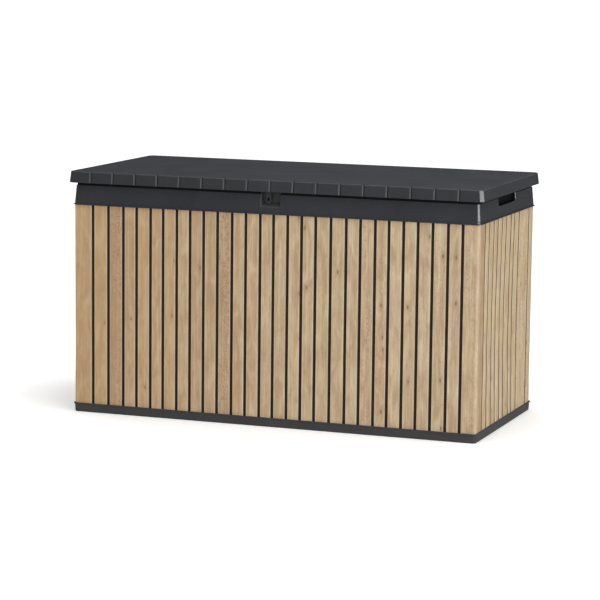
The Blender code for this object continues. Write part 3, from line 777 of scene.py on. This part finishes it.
def collar():
    """The moulded collar: a rolled lip, a drafted face and a rounded top edge."""
    inner = -WALL_THICK - GAP
    slot_top = WALL_HIGH.z + GAP
    stations = rows_mm(COLLAR_BOTTOM, (0.3, 0.4, 5, 1), (1, 0, 5.7, 1), (5.4, 0, 8.8, 1.4),
                       (6, 0.6, 9, 1.4), (6, 2.4, 9, 1.4), (5.5, 2.9, 8.8, 1.4),
                       (3, 3.1, 8.2, 1.4))
    stations.append((collar_offset(0.7022), 0.7022, 0.008, 0.0014))
    for height, cut in ((0.72, 0.0075), (0.745, 0.0068), (SHADOW_GAP - 0.0004, 0.0062)):
        stations.append((collar_offset(height), height, cut, 0.0012))
    for height in (SHADOW_GAP, COLLAR_TOP - 0.0012):
        stations.append((collar_offset(height) - SHADOW_STEP, height, SHADOW_CUT, 0.0012))
    top = collar_offset(COLLAR_TOP) - SHADOW_STEP
    stations += [(top - 0.0003, COLLAR_TOP - 0.0004, SHADOW_CUT, 0.0012),
                 (top - 0.0012, COLLAR_TOP, 0.0058, 0.0012)]
    stations += rows_mm(COLLAR_TOP, (-22.8, 0, 1.2, 0.4), (-23.7, -0.4, 1, 0.3),
                        (-24, -1.2, 1, 0.3))
    stations += rows_mm(COLLAR_BOTTOM, (-24, 3, 1, 0.3), (-23.6, 2.1, 1, 0.3))
    stations += [(inner, COLLAR_BOTTOM + 0.002, 0.0006, 0.0002),
                 (inner, slot_top, 0.0006, 0.0002), (GAP, slot_top, CORNER_CUT, CORNER_EASE)]
    work = bmesh.new()
    skin_loops(work, station_loops(work, stations), ring=True)
    mesh = mesh_from("collar", work)
    finish_collar(mesh)
    made = add_piece("moulded_collar", mesh, "box", "top_frame",
                     (RESIN, CORNER_RESIN, HIGHLIGHT_PAINT_RESIN, SHADOW_PAINT_RESIN, PLINTH_RESIN),
                     [grip_cutter(-1), grip_cutter(1), lock_cutter()])
    # The grip's rim: its upper faces, in the lid's shade, take near-black resin as painted shade,
    # and the rest take the smooth corner resin.
    for face in made.data.polygons:
        if face.material_index == PAINTED_HIGHLIGHT and abs(face.center.x) > GRIP_FLOOR:
            face.material_index = PAINTED_SHADE if face.center.z > GRIP_Z[1] - 0.006 else SMOOTH


# ---------------- plinth
TRAY_FLOOR = 0.024
FLOOR_RIB = 0.024  # between the panels of the floor inside
UNDER_RIB = 0.01  # between the pockets underneath
UNDER_DEPTH = 0.018
UNDER_CELLS = (0.68, 0.302)
UNDER_EDGE = (0.685, 0.307)


def pocketed_plate(work, low, high, level, deeper, pockets, radius, slope):
    """Faces at a level over a rectangle, each pocket pressed in with rounded edges.

    deeper is the pocket floor's height. Returns the rectangle's edge vertices by place.
    """
    xs = sorted({low[0], high[0], *(p[0] for p in pockets), *(p[2] for p in pockets)})
    ys = sorted({low[1], high[1], *(p[1] for p in pockets), *(p[3] for p in pockets)})
    grid = {(x, y): work.verts.new((x, y, level)) for x in xs for y in ys}
    turns = ((0.25 * radius, 0.18), (radius, 0.5), (1.6 * radius, 0.92), (2.2 * radius, 1.0))
    for x0, y0, x1, y1 in rectangles(zip(xs, xs[1:]), list(zip(ys, ys[1:]))):
        corners = [grid[x0, y0], grid[x1, y0], grid[x1, y1], grid[x0, y1]]
        if (x0, y0, x1, y1) not in pockets:
            work.faces.new(corners)
            continue
        loops = [corners]
        for inset, share in turns:
            grow = inset + slope * share
            z = level + (deeper - level) * share
            loops.append([work.verts.new((x, y, z)) for x, y in (
                (x0 + grow, y0 + grow), (x1 - grow, y0 + grow),
                (x1 - grow, y1 - grow), (x0 + grow, y1 - grow))])
        bands(work, *loops)
        work.faces.new(loops[-1])
    border = [grid[x, ys[0]] for x in xs] + [grid[xs[-1], y] for y in ys[1:]]
    border += [grid[x, ys[-1]] for x in reversed(xs[:-1])]
    border += [grid[xs[0], y] for y in reversed(ys[1:-1])]
    return border


def rectangles(spans_x, spans_y):
    return [(x0, y0, x1, y1) for x0, x1 in spans_x for y0, y1 in spans_y]


def cells(low, high, count, rib):
    """Even spans between two ends, with ribs between them."""
    pitch = (high - low) / count
    return [(low + i * pitch + rib / 2, low + (i + 1) * pitch - rib / 2) for i in range(count)]


def close_ring(work, loop, border):
    """Fills between an outline and a plate's border."""
    edges = []
    for chain in (loop, border):
        for first, second in zip(chain, chain[1:] + chain[:1]):
            edges.append(work.edges.get((first, second)) or work.edges.new((first, second)))
    bmesh.ops.triangle_fill(work, use_beauty=True, use_dissolve=False, edges=edges)


def plinth():
    """The base: a drafted skirt with a thin rolled lip, ribbed beneath, panelled inside."""
    work = bmesh.new()
    stations = rows_mm(0.0, (-0.4, 0, 6.4, 1.2), (0.4, 0.6, 6.8, 1.4), (1, 1.6, 7, 1.4))
    stations += rows_mm(TRAY_TOP, (2.4, -4.4, 7, 1.4), (3, -3.7, 7.2, 1.4), (5.2, -3.4, 7.8, 1.4),
                        (5.7, -2.9, 8, 1.4), (5.7, -0.6, 8, 1.4), (5.2, 0, 7.8, 1.4),
                        (1, 0, 5.6, 1), (0.3, -0.5, 5, 1))
    stations.append((GAP, TRAY_FLOOR, CORNER_CUT, CORNER_EASE))
    loops = station_loops(work, stations)
    bands(work, *loops)
    edge_x, edge_y, rib = HALF_X - FLOOR_RIB, HALF_Y - FLOOR_RIB, FLOOR_RIB
    floor = rectangles(cells(-edge_x + rib / 2, edge_x - rib / 2, 7, rib),
                       cells(-edge_y + rib / 2, edge_y - rib / 2, 3, rib))
    top = pocketed_plate(work, (-edge_x, -edge_y), (edge_x, edge_y), TRAY_FLOOR,
                         TRAY_FLOOR - 0.002, floor, 0.001, 0.002)
    close_ring(work, loops[-1], top)
    half_x, half_y = UNDER_CELLS
    under = rectangles(cells(-half_x, half_x, 12, UNDER_RIB),
                       cells(-half_y, half_y, 5, UNDER_RIB))
    edge_x, edge_y = UNDER_EDGE
    base = pocketed_plate(work, (-edge_x, -edge_y), UNDER_EDGE, 0.0, UNDER_DEPTH, under,
                          0.0008, 0.003)
    close_ring(work, loops[0], base)
    add_piece("plinth_tray", mesh_from("plinth", work), "box", "base_tray",
              (PLINTH_RESIN,))


# ---------------- lid
LID_GROOVES = 17
GROOVE_REACH = 0.0047
GROOVE_FALL = 0.0033
SKIRT_FOOT = 0.016
SKIRT_LEAN = 0.0038
SKIN = 0.0035
SKIRT_SKIN = 0.0045  # its rolled foot reaches this far in
LID_ROLL = 0.0026  # of the edge round the top
HINGE_XS = (-0.45, 0.0, 0.45)
NOTCH_HALF = 0.048
NOTCH_TOP = 0.794


def skirt_offset(height):
    return SKIRT_FOOT - SKIRT_LEAN * (height - LID_BOTTOM) / (LID_TOP - LID_BOTTOM)


def groove_marks(offset, height):
    """Where the front skirt's V-grooves pull the plan in."""
    pitch = 2 * (HALF_X + 0.0145) / (LID_GROOVES + 1)
    inside = offset < skirt_offset(height) - SKIRT_SKIN
    fall = 0.0 if inside else GROOVE_FALL
    if not inside and offset < skirt_offset(height) - 0.002:
        fall = GROOVE_FALL * 0.35
    marks = []
    for i in range(LID_GROOVES):
        x = (i - (LID_GROOVES - 1) / 2) * pitch
        for along, share in ((-1.0, 0.0), (-0.86, 0.09), (-0.1, 0.94), (0.1, 0.94),
                             (0.86, 0.09), (1.0, 0.0)):
            marks.append((x + along * GROOVE_REACH, fall * share))
    return marks


def lid_shell():
    """The lid's skin: a flat top over a drafted skirt, softly rounded where they meet."""
    top, low = LID_TOP, LID_BOTTOM
    stations = rows_mm(top - SKIN, (7, 0, 10, 1), (8.6, -0.8, 10, 1), (9.4, -3, 10, 1))
    stations += rows_mm(low, (12.3, 0.6, 10, 1), (12.8, 0.1, 10.5, 1), (15.2, 0, 11.5, 1.4),
                        (15.8, 0.3, 12, 1.4), (16, 1, 12, 1.4))
    for height in (low + 0.013, low + 0.025, top - 0.0032):
        stations.append((skirt_offset(height), height, 0.012, 0.0014))
    crown = skirt_offset(top)
    for angle in (0.35, 0.7, 1.05, 1.4):
        stations.append((crown - LID_ROLL * (1 - math.cos(angle)),
                         top - LID_ROLL * (1 - math.sin(angle)), 0.0118, 0.0014))
    stations += [(crown - LID_ROLL - 0.0004, top, 0.0112, 0.0014), (0.006, top, 0.009, 0.0014)]
    work = bmesh.new()
    skin_loops(work, station_loops(work, stations, groove_marks))
    mesh = mesh_from("lid_skin", work)
    finish_lid(mesh)
    notches = []
    for x in HINGE_XS:
        outline = rounded_rect((x - NOTCH_HALF, low - 0.012), (x + NOTCH_HALF, NOTCH_TOP), 0.004)
        notches.append(outline_mesh("notch", [outline], -0.37, -0.329, FRONT_VIEW, 0.0002, 1))
    add_piece("lid_moulding", mesh, "lid", "lid_shell",
              (LID_RESIN, CORNER_RESIN, HIGHLIGHT_PAINT_RESIN, LID_TOP_RESIN, GROOVE_RESIN), notches)


LINER_CHANNEL = 0.62  # half the length of the tubes' channels
LINER_COLUMNS, LINER_RIB, LINER_ROOF = 10, 0.006, 0.004
LINER_ROWS_Y = ((-0.3, -0.125), (-0.085, 0.085), (0.125, 0.235))


def lid_liner():
    """The ribbed inner panel, with open channels for the stiffening tubes."""
    work = bmesh.new()
    x, y = LINER_HIGH.x, LINER_HIGH.y
    pockets = rectangles(cells(-LINER_CHANNEL, LINER_CHANNEL, LINER_COLUMNS, LINER_RIB),
                         LINER_ROWS_Y)
    bottom = pocketed_plate(work, (-x, -y), (x, y), LINER_LOW.z, LINER_HIGH.z - LINER_ROOF,
                            pockets, 0.001, 0.001)
    upper = [work.verts.new((v.co.x, v.co.y, LINER_HIGH.z)) for v in bottom]
    middle = [work.verts.new((v.co.x, v.co.y, LINER_LOW.z + 0.002)) for v in bottom]
    bands(work, bottom, middle, upper)
    work.faces.new(upper)
    channels = []
    for tube in ("lid_tube_front", "lid_tube_rear"):
        low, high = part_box(tube)
        outline = rounded_rect((-LINER_CHANNEL - 0.001, low.y - 0.0008),
                               (LINER_CHANNEL + 0.001, high.y + 0.0008), 0.002)
        channels.append(outline_mesh("channel", [outline], LINER_LOW.z - 0.01, high.z + 0.0006,
                                     Matrix.Identity(4), 0.0003, 1))
    add_piece("lid_ribbed_liner", mesh_from("liner", work), "lid", "lid_liner",
              (RESIN,), channels)


# ---------------- lock
HASP_X = -0.011
HASP_HALF = 0.009
EYE_R, EYE_Z = 0.0045, 0.748
TONGUE_TOP, TONGUE_FOOT_Z = 0.7927, 0.742
STAPLE_FRONT_Y, STAPLE_BACK_Y = -0.3138, -0.3098
STAPLE_ARM = 0.003


def lock_tongue():
    """The lid's tongue: a padlock eye on a plate that hangs from a flange."""
    left, right, high = HASP_X - HASP_HALF, HASP_X + HASP_HALF, TONGUE_TOP
    outline = ([(left, high), (left, TONGUE_FOOT_Z)]
               + arc((HASP_X, TONGUE_FOOT_Z), HASP_HALF, 180, 360, 16)[1:] + [(right, high)])
    eye = ([(HASP_X - EYE_R, EYE_Z - 0.0085), (HASP_X + EYE_R, EYE_Z - 0.0085)]
           + arc((HASP_X, EYE_Z), EYE_R, 0, 180, 14))
    mesh = outline_mesh("tongue", [outline, eye], 0.3145, 0.3185, FRONT_VIEW, 0.0007)
    flange = rounded_rect((HASP_X - 0.008, -0.3165), (HASP_X + 0.008, -0.285), 0.0015)
    add_piece("padlock_tongue", mesh, "lid", "lock_tongue", (RESIN,),
              [outline_mesh("flange", [flange], 0.7899, high - 0.0001, Matrix.Identity(4),
                            0.0005)], "UNION")


def lock_staple():
    """The fixed padlock bracket in the recess, with its own hole."""
    wall, near, far = LOCK_WALL - GAP, STAPLE_FRONT_Y, STAPLE_BACK_Y
    foot, ear, back = 0.738, 0.757, 0.768
    shape = [(wall, back), (wall - STAPLE_ARM, back), (wall - STAPLE_ARM, foot + STAPLE_ARM),
             (far, foot + STAPLE_ARM), (far, ear), (near, ear), (near, foot), (wall, foot)]
    mesh = outline_mesh("staple", [shape], HASP_X - HASP_HALF, HASP_X + HASP_HALF, SIDE_VIEW,
                        0.0005)
    hole = arc((HASP_X, EYE_Z), EYE_R, 0, 360, 24)[:-1]
    add_piece("padlock_staple", mesh, "box", "lock_staple", (RESIN,),
              [outline_mesh("hole", [hole], 0.307, 0.32, FRONT_VIEW, 0.0002, 1)])


# ---------------- steelwork
SCREW_R, SCREW_H, SHANK_R, SHANK_L = 0.004, 0.0019, 0.0018, 0.0105
THREADS = 9
THREAD_DEPTH = 0.0004
CROSS_RECESS = ((SCREW_H - 0.0011, 0.0008, 0.00035),  # height, half length, half width
                (SCREW_H + 0.0005, 0.0021, 0.00055))


def screw_mesh():
    """A pan-head screw with a cross recess and a threaded shank."""
    flat = 0.62  # the share of the head that is flat on top
    head = [(0.0, SCREW_H)]
    head += [(SCREW_R * flat * i / 3, SCREW_H) for i in (1, 2, 3)]
    head += [(SCREW_R * flat + SCREW_R * (1 - flat) * math.sin(a),
              SCREW_H * 0.42 + SCREW_H * 0.58 * math.cos(a)) for a in (0.4, 0.8, 1.2, QUARTER)]
    head += [(SCREW_R, 0.0002), (SCREW_R - 0.0002, 0.0), (SHANK_R, 0.0)]
    root = SHANK_R - THREAD_DEPTH
    for i in range(THREADS):
        z = -0.001 - (SHANK_L - 0.003) * i / THREADS
        head += [(root, z), (SHANK_R, z - THREAD_DEPTH)]
    head += [(root, -SHANK_L + 0.0012), (0.0003, -SHANK_L), (0.0, -SHANK_L)]
    holder = linked("screw_blank", turned_mesh("screw", list(reversed(head)), 24))
    slots = []
    for turn in (0.0, QUARTER):
        work = bmesh.new()
        for z, length, width in CROSS_RECESS:
            for u, v in ((-1, -1), (1, -1), (1, 1), (-1, 1)):
                work.verts.new((u * length, v * width, z))
        work.verts.ensure_lookup_table()
        skin_loops(work, [work.verts[:4], work.verts[4:]])
        work.transform(Matrix.Rotation(turn, 4, "Z"))
        slots.append(mesh_from("slot", work))
    carve(holder, slots)
    ready = holder.data
    bpy.data.objects.remove(holder, do_unlink=True)
    return ready


def screws():
    """Every screw, placed on its CAD node's own box."""
    blank = screw_mesh()
    blank.materials.clear()
    for name, cad in sorted(frame["nodes"].items()):
        if "_screw" not in name:
            continue
        low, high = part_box(name)
        middle = (low + high) / 2
        size = high - low
        axis = max(range(3), key=lambda i: size[i])
        # The head's end is where vertices lie furthest off the axis.
        wide = [v.co[axis] for v in cad.data.vertices
                if off_axis(v.co, middle, axis) > SCREW_R * 0.9]
        toward = 1.0 if sum(wide) / len(wide) > middle[axis] else -1.0
        outward = Vector((0, 0, 0))
        outward[axis] = toward
        seat = middle.copy()
        seat[axis] = (high[axis] if toward > 0 else low[axis]) - toward * SCREW_H
        turn = outward.to_track_quat("Z", "Y").to_matrix().to_4x4()
        twist = Matrix.Rotation(DICE.uniform(0, QUARTER), 4, "Z")
        mesh = blank.copy()
        mesh.transform(Matrix.Translation(seat) @ turn @ twist)
        add_piece(f"pan_{name}", mesh, cad["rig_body"], name, (ZINC,), angle=40)


def off_axis(point, middle, axis):
    gap = point - middle
    gap[axis] = 0.0
    return gap.length


STRUT_X = 0.655
STRUT_FOOT, STRUT_HEAD = (0.24, 0.508), (0.245, 0.775)  # (y, z) of the pivots
CYLINDER_SPAN, CYLINDER_R = (0.018, 0.175), 0.009  # distances from the foot pivot
ROD_START, ROD_R, ROD_END_NECK = 0.03, 0.004, 0.0223
SEAL_R = 0.0044
# The cylinder's rolled seal end: millimetres in from its side and down from its end.
SEAL_ROLL_MM = ((0, 14), (0.4, 13.2), (1, 12.2), (1, 11.4), (0.4, 10.4), (0, 9.6), (0, 2.6),
                (0.6, 1), (2, 0.1), (3.4, 0))


def gas_strut(side, name):
    """A gas spring's painted cylinder, with its rolled seal end, and its polished rod."""
    foot = Vector((side * STRUT_X, *STRUT_FOOT))
    along = Vector((side * STRUT_X, *STRUT_HEAD)) - foot
    place = Matrix.Translation(foot) @ along.to_track_quat("Z", "Y").to_matrix().to_4x4()
    (low, high), radius = CYLINDER_SPAN, CYLINDER_R
    body = [(0.0, low), (radius - 0.003, low), (radius - 0.001, low + 0.0006),
            (radius, low + 0.0022)]
    body += [(radius - inward * MM, high - down * MM) for inward, down in SEAL_ROLL_MM]
    body += [(0.005, high - 0.0012), (SEAL_R, high - 0.0012), (SEAL_R, high - 0.008),
             (0.0, high - 0.008)]
    mesh = turned_mesh("cylinder", body, 48)
    mesh.transform(place)
    add_piece(f"{name}_painted_cylinder", mesh, f"{name}_cylinder_body", f"{name}_cylinder",
              (BLACK,))
    reach = along.length - ROD_END_NECK
    rod = [(0.0, ROD_START), (ROD_R - 0.0008, ROD_START), (ROD_R, ROD_START + 0.0008),
           (ROD_R, reach - 0.0006), (ROD_R - 0.0006, reach), (0.0, reach)]
    mesh = turned_mesh("rod", rod, 40)
    mesh.transform(place)
    add_piece(f"{name}_polished_rod", mesh, f"{name}_rod_body", f"{name}_rod",
              (BRIGHT,))


def dress_cad_nodes():
    """CAD nodes whose shape is right keep it: welded, edges eased, and given a real finish."""
    skins = {"leaf": ZINC, "pin": ZINC, "bracket": ZINC, "tube": BLACK, "post": RESIN,
             "cylinder_end": RESIN, "rod_end": RESIN}
    for name, cad in frame["nodes"].items():
        if cad.hide_render:
            continue
        skin = next(value for key, value in skins.items() if key in name)
        cad.data.materials.clear()
        cad.data.materials.append(skin)
        weld = cad.modifiers.new("weld", "WELD")
        weld.merge_threshold = WELD
        ease = cad.modifiers.new("ease", "BEVEL")
        ease.width = 0.0003
        ease.segments = 2
        ease.limit_method = "ANGLE"
        ease.angle_limit = math.radians(40)
        ease.harden_normals = True
        cad.data.shade_smooth()


# ---------------- the object
DICE = random.Random(41)

# Each front slat's warmth, depth, figure and brown in hundredths, left to right. Depth falls from
# the left end to the right: partly each slat's own tone, and partly painted shade that makes the
# wall darker and more orange towards its left.
FRONT_LOOKS = (
    (35, 46, 0), (10, 44, 0), (95, 46, 90, 15), (80, 34, 20, 3), (45, 42, 0), (60, 32, 0),
    (25, 34, 0), (40, 24, 10), (60, 30, 0, 10), (55, 24, 10, 3), (95, 30, 90, 16), (60, 22, 10),
    (40, 20, 0), (50, 16, 20), (30, 14, 20), (25, 14, 0), (45, 14, 10), (35, 12, 10),
    (50, 12, 20), (30, 6, 10), (80, 16, 50), (60, 12, 30), (30, 6, 10), (30, 4, 20), (45, 4, 10),
    (20, 4, 30), (40, 2, 10), (45, 10, 40, 5))
END_COOLER = 0.7  # how much less warm the end walls' slats are
END_DEPTH = 0.1
# An end wall's first slat, at the lit rounded corner, is browned as painted shade.
FIRST_DEPTH, FIRST_SLAT_SHADE = 0.34, 0.3  # of an end wall's first slat


def slat_look(warmth, depth, figure, brown=0.0):
    """A slat's tone, how brown it is, and where its grain starts."""
    return (warmth, depth, figure, 1.0), brown, (DICE.uniform(0, 40), DICE.uniform(0, 40))


def random_looks(count):
    return [(DICE.uniform(0.1, 0.7), DICE.uniform(0.05, 0.25), DICE.choice((0.0, 0.0, 0.2, 0.8)))
            for _ in range(count)]


def walls():
    for side, angle in (("front", 0), ("back", 180), ("right", 90), ("left", -90)):
        is_end = side in ("right", "left")
        widths_mm, half, away = ((END_SLATS_MM, END_HALF, HALF_X) if is_end
                                 else (FRONT_SLATS_MM, HALF_X, HALF_Y))
        basis = Matrix.Rotation(math.radians(angle), 4, "Z") @ Matrix.Translation((0, -away, 0))
        looks = ([[part / 100 for part in look] for look in FRONT_LOOKS] if side == "front"
                 else random_looks(len(widths_mm)))
        if is_end:
            looks = [(warmth - END_COOLER, END_DEPTH, figure) for warmth, _, figure in looks]
            # Painted shade on the first slat, beside the corner.
            looks[0] = (looks[0][0], FIRST_DEPTH, looks[0][2], FIRST_SLAT_SHADE)
        slatted_wall(side, widths_mm, half, basis, [slat_look(*look) for look in looks], is_end)


walls()
collar()
plinth()
lid_shell()
lid_liner()
lock_tongue()
lock_staple()
screws()
gas_strut(-1, "left_strut")
gas_strut(1, "right_strut")
dress_cad_nodes()


# ---------------- studio
def studio_floor():
    """A pale floor that fades to white away from the object."""
    far = 60.0
    mesh = bpy.data.meshes.new("floor")
    mesh.from_pydata([(-far, -far, 0), (far, -far, 0), (far, far, 0), (-far, far, 0)],
                     [], [(0, 1, 2, 3)])
    skin, tree, shader = new_material("studio_floor")
    fill(shader, Base_Color=(0.86, 0.86, 0.86, 1), Roughness=0.9, Specular_IOR_Level=0.1,
         Emission_Color=(1, 1, 1, 1))
    seen = new_node(tree, "LightPath").outputs["Is Camera Ray"]
    span = new_node(tree, "VectorMath")
    span.operation = "LENGTH"
    join(stretch(object_place(tree), (0.62, 1.0, 1.0)), span.inputs[0])
    fade = ramp(span.outputs["Value"], (0.5, 0.29), (1.0, 0.85))
    join(maths("MULTIPLY", seen, fade), shader.inputs["Emission Strength"])
    mesh.materials.append(skin)
    floor = linked("studio_floor", mesh)
    floor.location.z = -0.0002  # just under the box's feet


def studio_world():
    """A plain pale backdrop for the camera, and a soft grey room for what the box reflects."""
    world = bpy.data.worlds.new("studio")
    bpy.context.scene.world = world
    world.use_nodes = True
    tree = world.node_tree
    tree.nodes.clear()
    out, seen, room, plain, both, place, parts = (new_node(tree, kind) for kind in (
        "OutputWorld", "LightPath", "Background", "Background", "MixShader", "TexCoord",
        "SeparateXYZ"))
    join(place.outputs["Generated"], parts.inputs[0])
    front = ramp(maths("MULTIPLY_ADD", parts.outputs["Y"], -0.5, 0.5), (0.2, 0.16), (0.75, 0.62))
    side = ramp(maths("MULTIPLY_ADD", parts.outputs["X"], 0.5, 0.5), (0.1, 0.55), (0.9, 1.0))
    join(mix(1.0, front, side, "MULTIPLY"), room.inputs["Color"])
    join(seen.outputs["Is Camera Ray"], both.inputs[0])
    join(room.outputs[0], both.inputs[1])
    join(plain.outputs[0], both.inputs[2])
    join(both.outputs[0], out.inputs["Surface"])


def soft_light(name, place, target, size, radiance):
    """A white area light that faces a target."""
    light = bpy.data.lights.new(name, "AREA")
    light.shape = "RECTANGLE"
    light.size, light.size_y = size
    light.energy = radiance * size[0] * size[1] * math.pi
    made = linked(name, light)
    made.location = place
    aim = Vector(target) - Vector(place)
    made.rotation_euler = aim.to_track_quat("-Z", "Y").to_euler()
    return made


def studio_lights():
    soft_light("overhead", (0.8, -0.6, 4.2), (0.2, 0, 0), (5.0, 4.0), 2.1)
    soft_light("right_key", (5.2, -4.4, 1.7), (0.3, -0.3, 0.5), (2.2, 2.6), 4.9)
    soft_light("front_fill", (-0.6, -7.0, 2.2), (0, -0.3, 0.4), (4.0, 3.0), 0.9)
    soft_light("corner_strip", (6.46, -2.0, 1.05), (0.7, -0.33, 0.75), (0.6, 2.1), 22.0)
    soft_light("rear_fill", (-3.0, 5.5, 5.0), (0, 0.3, 0.4), (4, 3), 1.8).visible_glossy = False


CAMERA_PLACE = (2.939, -7.988, 1.614)
CAMERA_TURN = (20.304, 8.273, 0.619)  # yaw to the left, pitch down and roll, in degrees
CAMERA_LENS_MM = 153.42


def camera():
    data = bpy.data.cameras.new("camera")
    data.lens = CAMERA_LENS_MM
    data.sensor_width = 36.0
    data.clip_end = 200.0
    made = linked("camera", data)
    yaw, pitch, roll = (math.radians(angle) for angle in CAMERA_TURN)
    ahead = Vector((-math.sin(yaw) * math.cos(pitch), math.cos(yaw) * math.cos(pitch),
                    -math.sin(pitch)))
    across = Vector((math.cos(yaw), math.sin(yaw), 0))
    upward = across.cross(ahead)
    right = across * math.cos(roll) + upward * math.sin(roll)
    top = upward * math.cos(roll) - across * math.sin(roll)
    turn = Matrix((right, top, -ahead)).transposed().to_4x4()
    made.matrix_world = Matrix.Translation(CAMERA_PLACE) @ turn
    bpy.context.scene.camera = made


studio_floor()
studio_world()
studio_lights()
camera()
bpy.context.scene.view_settings.view_transform = "Standard"
